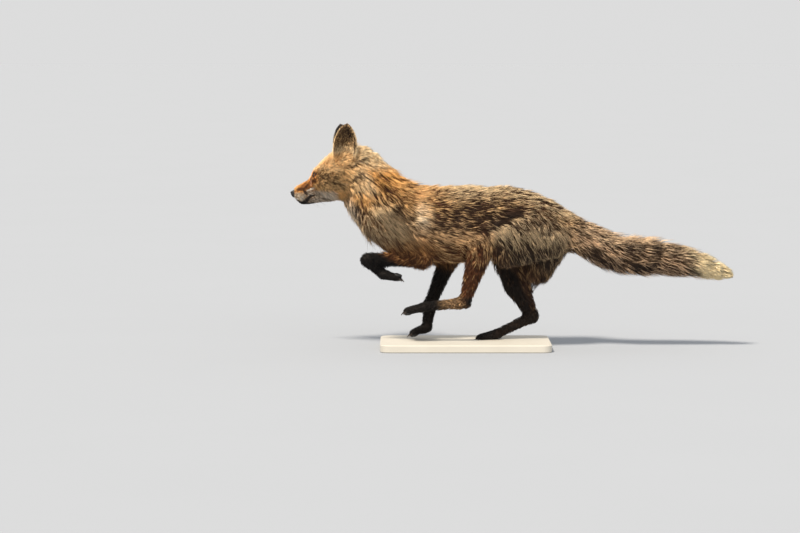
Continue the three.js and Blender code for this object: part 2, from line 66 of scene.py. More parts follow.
# Stations along the back: x, z, half height out to the coat's tips, and the depth of the coat there.
NECK = [(-390, 393, 48, 7), (-364, 397, 54, 13), (-355, 368, 64, 18), (-324, 336, 71, 21),
        (-285, 295, 78, 20)]
TRUNK = [(-283, 293, 77, 19), (-235, 270, 88, 17), (-150, 268, 88, 16), (-95, 269, 87, 16),
         (-20, 278, 78, 16), (35, 269, 73, 16), (85, 258, 61, 16), (118, 250, 46, 17)]
TAIL = [(112, 250, 37, 16), (165, 237, 39, 20), (204, 214, 45, 27), (251, 197, 48.5, 31),
        (298, 194, 48.5, 32), (345, 190, 44.5, 30), (392, 182, 39, 27), (439, 171, 32, 22),
        (478, 159, 23, 16), (505, 151, 14, 9)]
HAUNCH = {"hindleg_left": ((54, -26, 36), 26), "hindleg_right": ((73, -17, 43), 34)}
FLAT = {"neck": 0.82, "trunk": 0.78, "tail": 0.94, "upper_arm": 0.6, "forearm": 0.9, "thigh": 0.62,
        "shank": 0.82, "muzzle": 0.76}
TOE = {"spread": 9.6, "longer": 5, "radius": 9.6, "tip": 8}
# A claw's length, how far it starts inside its toe, its radius and point, and its rise and droop.
CLAW = {"length": 11, "sunk": 3.5, "radius": 2.1, "point": 0.12, "rise": 1.4, "droop": 3.2}
# Radii along, across and through a toe's pad and the broad pad, and how far each lies under the bones.
TOE_PAD = {"radii": (7, 4.4, 3.6), "under": TOE["tip"] - 1.8}
BROAD_PAD = {"radii": (9, 9.5, 4), "under": 8.5, "ahead": 7}

HEAD_PIVOT = (-384, 0, 384)
HEAD_YAW = 12
EYE = {"at": (-457.5, 20.5, 383), "radius": 8.8, "facing": 42, "tilt": 22, "half_wide": 7.6,
       "half_high": 4.7, "slant": 0.06, "cornea": 0.035}
# The lids' thickness, how they and the brow blend into the face, and how far out the opening is cut.
LIDS = {"thick": 1.5, "blend": 6, "brow_blend": 7, "cut": 6, "edge": 0.85}
# The nose pad: an egg cut by a sloping top and an undercut front, each a place and the way it faces.
NOSE = {"at": (-519.5, 0, 338.5), "radii": (9.5, 8.8, 10),
        "faces": [((-527.5, 341.5), (-0.524, 0.852)), ((-527.5, 341.5), (-0.863, -0.505))]}
EAR = {"height": 89, "radius": 28, "depth": 0.6, "wall": 3}
EAR_OUTLINE = [(-0.2, 0), (-0.16, 0.7), (0.02, 0.9), (0.22, 1), (0.45, 0.99), (0.62, 0.89), (0.78, 0.68),
               (0.9, 0.43), (0.97, 0.19), (1, 0)]
EARS = {"left": (-389, 36, 420, 8, 12, 4), "right": (-397, 35, 417, -14.5, 12, 8)}
# Black skin of the lips, in side view with half widths, and the dark corner in front of each eye.
LIPS = [[(-509, 322, 1.5), (-500, 317, 3.5), (-484, 313, 4.5), (-468, 316, 2.5)],
        [(-497, 318, 2.5), (-487, 320, 5), (-480, 328, 3.6), (-473, 334, 2.4), (-462, 336, 1.2)]]
EYE_CORNER = [(-473.5, 378, 1.8), (-476.5, 373, 1.0)]
MOUTH = [(-513, 327), (-503, 321.5), (-490, 321), (-479, 330), (-467, 337.5)]
MOUTH_GROOVE = {"half_wide": 1.3, "deep": 2.4}

board_low, board_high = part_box("stand_base")
SHIFT = np.array([
    (board_low.x + board_high.x) * 500 - BOARD_CENTRE[0],
    (board_low.y + board_high.y) * 500 - BOARD_CENTRE[1],
    board_high.z * 1000 - BOARD_TOP,
])


def metres(points):
    """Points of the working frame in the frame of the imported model."""
    return (np.asarray(points) + SHIFT) * 0.001


# ---- Forms of flesh --------------------------------------------------------------------------

def rotation(axis, degrees):
    return np.array(Matrix.Rotation(math.radians(degrees), 4, axis))


def translation(at):
    return np.array(Matrix.Translation(at))


TURN_HEAD = translation(HEAD_PIVOT) @ rotation("Z", -HEAD_YAW) @ translation([-v for v in HEAD_PIVOT])
UNTURN_HEAD = np.linalg.inv(TURN_HEAD)
IN_PLACE = np.eye(4)


def placed(points, matrix):
    points = np.asarray(points, float)
    return points @ matrix[:3, :3].T + matrix[:3, 3]


class Form:
    """A mass of flesh: bare is its skin, and full reaches to the tips of the coat."""

    def __init__(self, part, lie, coat, turn=IN_PLACE, stage=(0, 0)):
        self.part = part
        self.stage = stage
        self.coat = coat
        self.turn = turn
        self.unturn = np.linalg.inv(turn)
        lie = turn[:3, :3] @ np.asarray(lie, float)
        self.lie = lie / np.linalg.norm(lie)

    def distance(self, points, bare):
        if self.turn is not IN_PLACE:
            points = placed(points, self.unturn)
        return self.reach(points, bare)


class Bar(Form):
    """A round tapered bar, narrowed across the body by flat."""

    def __init__(self, part, a, b, radii, coat, flat=1.0, lie=None, turn=IN_PLACE, stage=(0, 0)):
        self.a, self.b = np.asarray(a, float), np.asarray(b, float)
        super().__init__(part, self.b - self.a if lie is None else lie, sum(coat) / 2, turn, stage)
        self.radii, self.coats, self.flat = radii, coat, flat
        ends = placed([self.a, self.b], turn)
        self.low, self.high = ends.min(0) - max(radii), ends.max(0) + max(radii)

    def along(self, points):
        d = self.b - self.a
        return np.clip((points - self.a) @ (d / (d @ d)), 0, 1)

    def progress(self, points):
        start, end = self.stage
        return start + (end - start) * self.along(points)

    def reach(self, points, bare):
        t = self.along(points)
        q = points - self.a - t[..., None] * (self.b - self.a)
        r0, r1 = (r - c * bare for r, c in zip(self.radii, self.coats))
        return np.sqrt(q[..., 0] ** 2 + (q[..., 1] / self.flat) ** 2 + q[..., 2] ** 2) - r0 - (r1 - r0) * t


class Egg(Form):
    """An ellipsoid."""

    def __init__(self, part, centre, radii, coat, lie, turn=IN_PLACE):
        super().__init__(part, lie, coat, turn)
        self.centre, self.radii = np.asarray(centre, float), np.asarray(radii, float)
        middle = placed(self.centre, turn)
        self.low, self.high = middle - self.radii.max(), middle + self.radii.max()

    def reach(self, points, bare):
        radii = self.radii - self.coat * bare
        q = (points - self.centre) / radii
        far = np.sqrt((q ** 2).sum(-1))
        return far * (far - 1) / np.maximum(1e-6, np.sqrt(((q / radii) ** 2).sum(-1)))


class Ear(Form):
    """A pointed cup whose opening faces out."""

    def __init__(self, name, side):
        x, out, z, lean, splay, facing = EARS[name]
        spin = 180 - facing if side > 0 else facing
        base = TURN_HEAD @ translation((x, side * out, z))
        tilt = rotation("Y", lean) @ rotation("X", -side * splay)
        place = base @ tilt @ rotation("Z", spin) @ rotation("X", 90)
        super().__init__("ear_" + name, (0, 1, 0), 1.6, place)
        ends = placed([(0, EAR["height"], 0), (0, 0, 0)], place)
        self.low = ends.min(0) - EAR["radius"] - 8
        self.high = ends.max(0) + EAR["radius"] + 8

    def reach(self, points, bare):
        trim = 0.9 * bare
        outer = self.cup(points, EAR["radius"] - trim, EAR["height"] - trim, EAR["depth"])
        hollow = points - np.array([0, EAR["wall"], 1.5 * EAR["wall"]])
        thick = EAR["wall"] + 1.2 * bare
        inner = self.cup(hollow, EAR["radius"] - thick, EAR["height"] - 2.5 * thick, EAR["depth"] * 1.1)
        return np.maximum(outer, -inner)

    def cup(self, points, radius, height, depth):
        heights, widths = zip(*EAR_OUTLINE)
        wide = np.interp(points[..., 1] / height, heights, widths) * radius
        return (np.hypot(points[..., 0], points[..., 2] / depth) - wide) * 0.75


def soft_min(a, b, k):
    """The lower of two distances, blended over k mm."""
    h = np.maximum(k - np.abs(a - b), 0) / k
    return np.minimum(a, b) - h * h * k / 4


def leg_joints(name):
    """A leg's side, -1 for the left, and its joints from the root to the toes' tips."""
    side = -1 if name.endswith("left") else 1
    (x, out, z), bones = LEGS[name]
    joints = [np.array([x, side * out, z], float)]
    for length, swing, lower_out in bones:
        a = math.radians(swing)
        x, _, z = joints[-1]
        joints.append(np.array([x - length * math.sin(a), side * lower_out, z - length * math.cos(a)]))
    return side, joints


def toes(knuckle, tip):
    """The start and end of each of four toes, and the way they point."""
    ahead = (tip - knuckle) * (1, 0, 1)
    ahead = ahead / np.linalg.norm(ahead)
    found = []
    for place in (-1.5, -0.5, 0.5, 1.5):
        extra = TOE["longer"] if abs(place) < 1 else 0
        start = knuckle + (0, place * TOE["spread"] * 0.8, 0)
        end = tip + ahead * (extra - TOE["tip"]) + (0, place * TOE["spread"], 0)
        found.append((start, end, ahead))
    return found


def paw_forms(part, knuckle, tip, extra):
    radii = (TOE["radius"] + extra, TOE["tip"])
    return [Bar(part, start, end, radii, (2.2, 1.6), stage=(3, 4)) for start, end, _ in toes(knuckle, tip)]


def foreleg(name):
    _, (shoulder, elbow, wrist, knuckle, tip) = leg_joints(name)
    leg = (14, [
        Bar(name, shoulder, elbow, (56, 32), (16, 10), FLAT["upper_arm"], stage=(0, 1)),
        Bar(name, elbow, wrist, (25, 15.5), (7, 4), FLAT["forearm"], stage=(1, 2)),
        Bar(name, wrist, knuckle, (16, 13), (3.5, 2.8), stage=(2, 3)),
    ])
    return (6, [leg, (3, paw_forms(name, knuckle, tip, 1.5))])


def hindleg(name):
    side, (hip, knee, hock, knuckle, tip) = leg_joints(name)
    (back_x, back_z, back_radius), calf = HAUNCH[name]
    calf_at = knee + (hock - knee) * 0.42
    seat = hip + (34, side * 34 - hip[1], -30)
    back = knee + (back_x, -side * 5, back_z)
    down = (0.25, 0, -1)
    thigh = (26, [
        Bar(name, hip, knee, (56, 36), (16, 13), FLAT["thigh"], lie=(0.55, 0, -1), stage=(0, 1)),
        Bar(name, seat, back, (47, back_radius), (17, 14), FLAT["thigh"], lie=down, stage=(0, 0.9)),
    ])
    shin = (8, [
        Bar(name, knee, calf_at, (33, calf), (11, 8), FLAT["shank"], stage=(1, 1.42)),
        Bar(name, calf_at, hock, (calf, 14.5), (8, 4), FLAT["shank"], stage=(1.42, 2)),
    ])
    pastern = Bar(name, hock, knuckle, (14, 11.5), (3, 2.6), stage=(2, 3))
    leg = (12, [thigh, shin, pastern])
    return (6, [leg, (3, paw_forms(name, knuckle, tip, 1))])


def spine(part, stations, flat):
    return [
        Bar(part, (x0, 0, z0), (x1, 0, z1), (r0, r1), (c0, c1), flat)
        for (x0, z0, r0, c0), (x1, z1, r1, c1) in zip(stations, stations[1:])
    ]


def head():
    """The head looks straight along -X in its own frame and is then turned."""
    def egg(centre, radii, coat, lie):
        return Egg("head", centre, radii, coat, lie, TURN_HEAD)

    def bar(a, b, radii, coat, lie):
        return Bar("head", a, b, radii, coat, FLAT["muzzle"], lie, TURN_HEAD)

    forms = [egg((-405, 0, 387), (54, 45, 50), 5.5, (1, 0, 0.05)),
             egg((-447, 0, 381), (28, 28, 26), 3, (0.8, 0, 0.6)),
             bar((-450, 0, 357), (-503, 0, 343.5), (30, 15.5), (3.2, 1.6), (0.95, 0, 0.3)),
             egg((-492, 0, 334), (25, 16.5, 15), 1.8, (1, 0, -0.15)),
             bar((-436, 0, 341), (-494, 0, 325), (22, 10), (4, 1.8), (1, 0, -0.3))]
    for side in (-1, 1):
        forms.append(egg((-416, side * 29, 357), (36, 31, 31), 8, (0.9, side * 0.25, -0.45)))
        forms.append(egg((-440, side * 22, 366), (26, 19, 15), 3.6, (1, side * 0.25, -0.12)))
    return (16, forms)


HEAD = head()
NOSE_FORM = Egg("head", NOSE["at"], NOSE["radii"], 0, (1, 0, 0))
EAR_FORMS = [Ear("left", -1), Ear("right", 1)]
BODY = (26, [(20, spine("trunk", TRUNK, FLAT["trunk"])), (20, spine("neck", NECK, FLAT["neck"])), HEAD,
             (14, spine("tail", TAIL, FLAT["tail"]))])
FLESH = (15, [BODY, foreleg("foreleg_left"), foreleg("foreleg_right"), hindleg("hindleg_left"),
              hindleg("hindleg_right")])
WHOLE = (4, [FLESH, *EAR_FORMS])


def forms_of(tree):
    if isinstance(tree, Form):
        return [tree]
    return [form for branch in tree[1] for form in forms_of(branch)]


def reach_at(tree, points, bare):
    """About how far points lie outside a joined group of forms."""
    if isinstance(tree, Form):
        return tree.distance(points, bare)
    k, branches = tree
    total = reach_at(branches[0], points, bare)
    for branch in branches[1:]:
        total = soft_min(total, reach_at(branch, points, bare), k)
    return total


# ---- The skin ---------------------------------------------------------------------------------

def grid_line(*spans):
    """Places along one axis, with each span (start, end, step) at its own spacing."""
    line = [np.arange(start, end, step) for start, end, step in spans]
    return np.concatenate(line)


GRID = [
    grid_line((-534, -338, 1.5), (-338, 420, 4.3), (420, 530, 3.4)),
    grid_line((-93, -68, 3.6), (-68, 72, 1.9), (72, 96, 3.6)),
    grid_line((-12, 200, 3.1), (200, 312, 4.3), (312, 440, 1.6), (440, 520, 1.9)),
]
FAR = 200.0
# How far past a form, or past a group of forms, the field is filled in.
FORM_MARGIN = 26
GROUP_MARGIN = 30


def window(low, high):
    return tuple(
        slice(max(0, np.searchsorted(line, a) - 1), np.searchsorted(line, b) + 1)
        for line, a, b in zip(GRID, low, high)
    )


def grid_points(where):
    return np.stack(np.meshgrid(*(line[s] for line, s in zip(GRID, where)), indexing="ij"), -1)


def on_grid(tree):
    """The bare field of a group on the grid: each form fills only its own window."""
    total = np.full([len(line) for line in GRID], FAR, np.float32)
    if isinstance(tree, Form):
        where = window(tree.low - FORM_MARGIN, tree.high + FORM_MARGIN)
        total[where] = tree.distance(grid_points(where), True)
        return total
    k, branches = tree
    for branch in branches:
        forms = forms_of(branch)
        low, high = np.min([f.low for f in forms], 0), np.max([f.high for f in forms], 0)
        where = window(low - GROUP_MARGIN, high + GROUP_MARGIN)
        total[where] = soft_min(total[where], on_grid(branch)[where], k)
    return total


def eye_axes(side):
    """The eye's centre, and the ways that it faces, towards its outer corner, and up, all head-straight."""
    x, out, z = EYE["at"]
    a, tilt = math.radians(EYE["facing"]), math.radians(EYE["tilt"])
    ahead = np.array([-math.cos(a), side * math.sin(a), 0.1])
    ahead /= np.linalg.norm(ahead)
    level = np.array([math.sin(a), side * math.cos(a), 0.0])
    up = np.cross(level, ahead) * side
    up = up if up[2] > 0 else -up
    outer = level * math.cos(tilt) + up * math.sin(tilt)
    return np.array([x, side * out, z]), ahead, outer, up * math.cos(tilt) - level * math.sin(tilt)


def eye_opening(points, side):
    """Negative inside the almond between the lids, then how far in front of the eye's middle, and how far
    from it."""
    centre, ahead, outer, up = eye_axes(side)
    q = points - centre
    u, v, w = q @ outer, q @ up, q @ ahead
    half = EYE["half_high"] * (1 - (u / EYE["half_wide"]) ** 2)
    return (np.abs(v + EYE["slant"] * u) - half) * 0.75, w, np.sqrt((q ** 2).sum(-1))


def segments(points, path):
    """For each step of a path of (x, z) places: how far points are from it in side view, how far along they
    are, and its two ends."""
    flat = points[..., [0, 2]]
    for start, end in zip(path, path[1:]):
        a, d = np.array(start[:2], float), np.subtract(end[:2], start[:2]).astype(float)
        t = np.clip((flat - a) @ (d / (d @ d)), 0, 1)
        yield np.linalg.norm(flat - a - t[..., None] * d, axis=-1), t, start, end


def path_distance(points, path):
    """Distance in side view from points to a path of (x, z) corners."""
    return np.minimum.reduce([far for far, *_ in segments(points, path)])


def carve_face(skin):
    """Lids, brows, mouth line and the seat of the nose."""
    where = window((-534, -70, 300), (-420, 90, 425))
    points = placed(grid_points(where), UNTURN_HEAD)
    face = skin[where]
    for side in (-1, 1):
        centre, ahead, outer, up = eye_axes(side)
        almond, depth, far = eye_opening(points, side)
        face = soft_min(face, far - EYE["radius"] - LIDS["thick"], LIDS["blend"])
        brow_in = centre + up * 8.5 - outer * 7 + ahead * 2
        brow_out = centre + up * 8 + outer * 8 - ahead * 2.5
        brow = Bar("head", brow_in, brow_out, (3.4, 3), (0, 0))
        face = soft_min(face, brow.reach(points, False), LIDS["brow_blend"])
        opening = np.maximum(np.maximum(far - EYE["radius"] - LIDS["cut"], almond), -depth)
        face = np.maximum(face, -opening)
    groove = MOUTH_GROOVE["half_wide"] - path_distance(points, MOUTH)
    face = np.maximum(face, np.minimum(groove, face + MOUTH_GROOVE["deep"]))
    skin[where] = np.maximum(face, 0.3 - NOSE_FORM.reach(points, False))
    return skin


def zero_surface(values, lines):
    """Vertices and quads of the surface where a grid of values crosses zero."""
    sizes = [n - 1 for n in values.shape]
    inside = values < 0
    count = np.zeros(sizes, np.int8)
    corners = list(product((0, 1), repeat=3))
    for i, j, k in corners:
        count += inside[i:sizes[0] + i, j:sizes[1] + j, k:sizes[2] + k]
    cells = np.argwhere((count > 0) & (count < 8))
    total = np.zeros((len(cells), 3))
    crossed = np.zeros(len(cells))
    for a in corners:
        for axis in range(3):
            if a[axis]:
                continue
            b = tuple(n + (i == axis) for i, n in enumerate(a))
            pa, pb = cells + a, cells + b
            va, vb = (values[tuple(p.T)].astype(float) for p in (pa, pb))
            mixed = (va < 0) != (vb < 0)
            t = np.where(mixed, va / np.where(mixed, va - vb, 1), 0)
            ca, cb = (np.stack([lines[m][p[:, m]] for m in range(3)], 1) for p in (pa, pb))
            total += np.where(mixed[:, None], ca + (cb - ca) * t[:, None], 0)
            crossed += mixed
    number = np.full(sizes, -1)
    number[tuple(cells.T)] = np.arange(len(cells))
    quads = []
    for axis in range(3):
        first = np.take(inside, range(0, inside.shape[axis] - 1), axis)
        second = np.take(inside, range(1, inside.shape[axis]), axis)
        edges = np.argwhere(first != second)
        u, w = (axis + 1) % 3, (axis + 2) % 3
        edges = edges[(edges[:, u] > 0) & (edges[:, w] > 0)]
        ring = []
        for du, dw in ((1, 1), (0, 1), (0, 0), (1, 0)):
            at = edges.copy()
            at[:, u] -= du
            at[:, w] -= dw
            ring.append(number[tuple(at.T)])
        ring = np.stack(ring, 1)
        outward = first[tuple(edges.T)]
        ring[~outward] = ring[~outward][:, ::-1]
        quads.append(ring)
    return total / crossed[:, None], np.concatenate(quads)


def smoothed(points, quads, rounds, keep):
    """Moves each point towards the mean of its neighbours, less where keep is near 1."""
    a = quads.ravel()
    b = np.roll(quads, -1, axis=1).ravel()
    degree = np.bincount(np.concatenate([a, b]), minlength=len(points))[:, None]
    for _ in range(rounds):
        mean = np.stack([
            np.bincount(a, points[b, m], len(points)) + np.bincount(b, points[a, m], len(points))
            for m in range(3)
        ], 1) / degree
        points = points + (mean - points) * (1 - keep)[:, None]
    return points


def face_normals(points, faces):
    """Each quad's normal, as long as its area."""
    d1 = points[faces[:, 2]] - points[faces[:, 0]]
    d2 = points[faces[:, 3]] - points[faces[:, 1]]
    return np.cross(d1, d2) / 2


def unit(v):
    """Vectors made one long."""
    return v / np.maximum(1e-9, np.linalg.norm(v, axis=-1, keepdims=True))


# How much of each point's place the smoothing keeps on the face and on the body, and where it changes.
FACE_SHARP = {"from": -400, "over": 60, "face": 0.75, "body": 0.3}


def skin_surface():
    """The bare skin as points and quads, its soles flat and its face kept sharper than its body."""
    skin = carve_face(on_grid(WHOLE))
    heights = GRID[2][None, None, :]
    skin = np.maximum(skin, (BOARD_TOP + SOLE_GAP - heights).astype(np.float32))
    points, quads = zero_surface(skin, GRID)
    face = np.clip(1 - (points[:, 0] - FACE_SHARP["from"]) / FACE_SHARP["over"], 0, 1)
    kept = FACE_SHARP["body"] + (FACE_SHARP["face"] - FACE_SHARP["body"]) * face
    return smoothed(points, quads, 3, kept), quads


# ---- Colours ----------------------------------------------------------------------------------

def linear(code):
    """A hex sRGB colour turned linear."""
    values = [int(code[i:i + 2], 16) / 255 for i in (1, 3, 5)]
    return tuple(v / 12.92 if v <= 0.04045 else ((v + 0.055) / 1.055) ** 2.4 for v in values)


FUR = {name: np.array(linear(code)) for name, code in {
    "cream": "#fde5ba", "gold": "#efbc76", "straw": "#e0b880", "honey": "#ecb264", "amber": "#c98a48",
    "rufous": "#a55f2c", "chestnut": "#6f4223", "plum": "#4a2418", "fawn": "#b08f68",
    "grey_brown": "#7d654b", "umber": "#5a412b", "dark": "#34241a", "black": "#17120f",
    "white": "#f4eee0", "ash": "#aaa493", "tip_straw": "#e8d5ab", "pink_tan": "#d8b591",
    "shell": "#cf9f80",
}.items()}


def fade(value, start, end):
    """0 up to start and 1 from end on, with a soft change between; start may be the higher."""
    t = np.clip((value - start) / (end - start), 0, 1)
    return t * t * (3 - 2 * t)


def spot(points, x, z, wide, high):
    """1 at a place in side view, falling softly to 0 at its rim."""
    return np.exp(-(((points[:, 0] - x) / wide) ** 2 + ((points[:, 2] - z) / high) ** 2))


def clouds(points, size, seed):
    """Soft patches about size mm across, between -1 and 1."""
    rng = np.random.default_rng(seed)
    total = np.zeros(len(points))
    for _ in range(7):
        wave = unit(rng.normal(size=3)) * math.tau / size * rng.uniform(0.6, 1.5)
        total += np.sin(points @ wave + rng.uniform(0, math.tau))
    return np.clip(total / 3.5, -1, 1)


def paint(colour, name, amount):
    """Lays a named colour over an array of colours, in place."""
    colour += (FUR[name] - colour) * amount[:, None]


# In the functions of marks, fade and spot take places in mm, or shares: of the body's height from belly to
# back (high), of the tail's thickness (up), of an ear (up and forward) or of a leg's joints (far_down). The
# factor after them is the paint's strength, at most 1. pale is the share of pale-tipped hairs.

# The fold where the thigh meets the flank, painted dark as painted shade, and the raised fur just behind it,
# given more pale tips as painted light, in side view.
FLANK_FOLD_SHADE = [(14, 296), (-16, 286), (-42, 268), (-62, 246)]
FLANK_RIDGE_LIGHT = [(22, 284), (-6, 274), (-32, 254), (-52, 232), (-60, 200)]
# The shed places behind the ears, dark with the shorter coat and with painted shade between the clumps, as
# brush strokes of (x, z, half width) in side view.
MOULT_AND_SHADE = [
    [(-374, 404, 3.5), (-344, 424, 2.5)],
    [(-380, 367, 3), (-369, 377, 5.5), (-352, 390, 3)],
    [(-350, 384, 2), (-332, 372, 2)],
    [(-336, 352, 2), (-316, 337, 2.5)],
    [(-362, 348, 2), (-350, 330, 2)],
]
# Strokes on the mask: the pale line down the nose, then colour, strength and path for the others.
NOSE_LINE = [(-516, 348, 4), (-498, 366, 4), (-478, 381, 5)]
BRIDGE_STROKES = [
    ("chestnut", 0.75, [(-506, 348, 3), (-494, 351, 5), (-481, 356, 6.5)]),
    ("dark", 0.7, [(-503, 349, 1.2), (-490, 351, 2.2), (-481, 359, 1.8)]),
]
CHEEK_STROKES = [
    ("dark", 0.92, [(-490, 346, 3), (-485, 340, 4)]),
    ("white", 0.9, [(-482, 346, 1.2), (-473, 349.5, 2.4), (-463, 353, 1.4)]),
    ("straw", 0.7, [(-463, 357, 4), (-456, 358, 4)]),
    ("plum", 0.75, [(-468, 369, 3), (-460, 370, 5)]),
    ("shell", 0.8, [(-472, 377, 1.8), (-473, 367, 2.6), (-473, 359, 2)]),
]
# Where a brush stroke has ended and where it is full, in its half widths.
STROKE_RIM = (1.4, 0.6)


def stroke(points, path):
    """1 on a brush stroke through (x, z, half width) places in side view, falling to 0 beyond its rim."""
    return np.maximum.reduce([
        fade(far / (start[2] + (end[2] - start[2]) * t), *STROKE_RIM)
        for far, t, start, end in segments(points, path)
    ])


def body_height(points):
    """0 at the belly line and 1 at the back line."""
    stations = np.array(NECK[2:] + TRUNK[1:])
    order = np.argsort(stations[:, 0])
    x, z, r = (stations[order, i] for i in range(3))
    top = np.interp(points[:, 0], x, z + r)
    low = np.interp(points[:, 0], x, z - r)
    return (points[:, 2] - low) / (top - low)


def markings(points, share, down, normals):
    """The coat's colours at points of the skin: at the roots, half way and at the tips of the pale hairs,
    and how many hairs are pale-tipped. share holds how much each part of the body owns each point, and
    down how far along each leg it is, in joints."""
    n = len(points)
    x, z = points[:, 0], points[:, 2]
    high = body_height(points)
    mid = np.tile(FUR["umber"], (n, 1))
    tip = np.tile(FUR["fawn"], (n, 1))
    pale = np.full(n, 0.34)

    # Trunk: a straw-flecked saddle, a grey-brown flank and a dark belly.
    patch = spot(points, -214, 300, 15, 30) * (points[:, 1] < 0)
    paint(mid, "chestnut", fade(high, 0.3, 0.8) * 0.45)
    paint(mid, "amber", fade(high, 0.68, 0.95) * fade(x, -200, -262) * 0.85)
    paint(mid, "rufous", fade(high, 0.5, 0.9) * fade(x, -130, -210) * 0.5)
    paint(mid, "straw", patch * 0.9)
    paint(mid, "dark", fade(high, 0.24, 0.04) * 0.5)
    paint(mid, "rufous", fade(high, 0.4, 0.12) * fade(x, -30, -110) * 0.45)
    paint(tip, "straw", fade(high, 0.45, 0.75) * 0.8)
    paint(tip, "cream", np.maximum(fade(high, 0.72, 0.95) * 0.6, patch))
    paint(tip, "white", patch * 0.5)
    paint(tip, "honey", fade(high, 0.5, 0.9) * fade(x, -110, -210) * 0.6)
    paint(tip, "straw", fade(high, 0.34, 0.1) * 0.6)
    side = fade(high, 0.36, 0.5) * fade(high, 0.84, 0.7) * fade(x, -195, -150) * fade(x, 20, -20)
    paint(mid, "dark", side * 0.25)
    pale += 0.16 * fade(high, 0.74, 0.95) * fade(x, 40, -80) + 0.6 * patch - 0.1 * side
    pale += 0.07 * fade(high, 0.6, 0.9) * fade(x, 30, 80) - 0.1 * fade(high, 0.24, 0.05)
    # Painted shade along the fold, and painted light along the raised fur behind it.
    fold_shade = np.exp(-(path_distance(points, FLANK_FOLD_SHADE) / 6) ** 2) * (1 - patch)
    ridge_light = np.exp(-(path_distance(points, FLANK_RIDGE_LIGHT) / 9) ** 2)
    paint(mid, "dark", fold_shade * 0.75)
    pale += 0.3 * ridge_light - 0.4 * fold_shade + 0.2 * fade(high, 0.12, 0.3) * fade(high, 0.5, 0.3)
    # Painted shade: darker towards the bottom of the hind body and thighs, kept off the near lower hindleg
    # and the tail, and weaker on the far hindleg.
    under_shade = fade(z + 12 * clouds(points, 24, 6), 214, 166) * fade(x, -52, -30) * fade(x, 130, 100)

    neck_marks(points, share, mid, tip, pale)
    leg_marks(points, share, down, mid, tip, pale)
    tail_marks(points, share, mid, tip, pale)
    head_marks(points, share, mid, tip, pale, normals)
    moult_and_shade_marks(points, share, mid, tip)
    under_shade = under_shade * (1 - fade(np.maximum(down["hindleg_left"], 0), 0.8, 1.0) * share["hindleg_left"])
    under_shade = under_shade * (1 - 0.35 * share["hindleg_right"]) * (1 - share["tail"])
    # The painted shade under the body, on the middle and the tips of the hairs.
    paint(mid, "dark", under_shade * 0.7)
    paint(tip, "umber", under_shade * 0.8)
    patches = clouds(points, 70, 3) * (1 - share["head"])
    mid *= 1 + 0.08 * patches[:, None]
    pale += 0.05 * patches
    root = mid * 0.3 + FUR["dark"] * 0.1
    return root, mid, tip, np.clip(pale, 0.03, 0.95)


def neck_marks(points, share, mid, tip, pale):
    """A cream nape and ruff, a rufous side and a grey-white breast."""
    x, z = points[:, 0], points[:, 2]
    own = share["neck"]
    front = fade(x + 0.6 * (z - 300), -340, -378)
    breast = np.maximum(front * fade(z, 350, 315), fade(z, 268, 232) * fade(x, -255, -290))
    ruff = fade(x + 0.5 * (z - 390), -325, -352) * fade(z, 322, 356)
    paint(mid, "chestnut", own * 0.9)
    paint(mid, "rufous", own * fade(z, 300, 370) * 0.5)
    paint(mid, "amber", own * fade(z, 385, 415) * 0.9)
    paint(mid, "gold", own * fade(z, 395, 420) * 0.9)
    paint(tip, "honey", own)
    paint(tip, "cream", own * np.maximum(ruff * 0.75, fade(z, 380, 415) * 0.9))
    paint(mid, "ash", own * breast * 0.6)
    paint(tip, "white", own * breast * 0.65)
    pale += own * (0.08 + 0.46 * ruff + 0.56 * fade(z, 376, 408) + 0.12 * breast)


def moult_and_shade_marks(points, share, mid, tip):
    """Dark gaps where the winter coat is shed behind the ears, plainest on the left side: the shorter coat
    showing, with painted shade between the clumps.
    """
    ears = share["ear_left"] + share["ear_right"]
    amount = (1 - ears) * np.where(points[:, 1] < 0, 1, 0.6)
    paint(mid, "plum", amount * spot(points, -382, 396, 11, 18) * 0.6)
    for clump in MOULT_AND_SHADE:
        # Each gap is painted dark: the shorter coat, and painted shade between the clumps.
        shed_gap_and_shade = stroke(points, clump) * amount
        paint(mid, "dark", shed_gap_and_shade * 0.95)
        paint(tip, "dark", shed_gap_and_shade * 0.9)


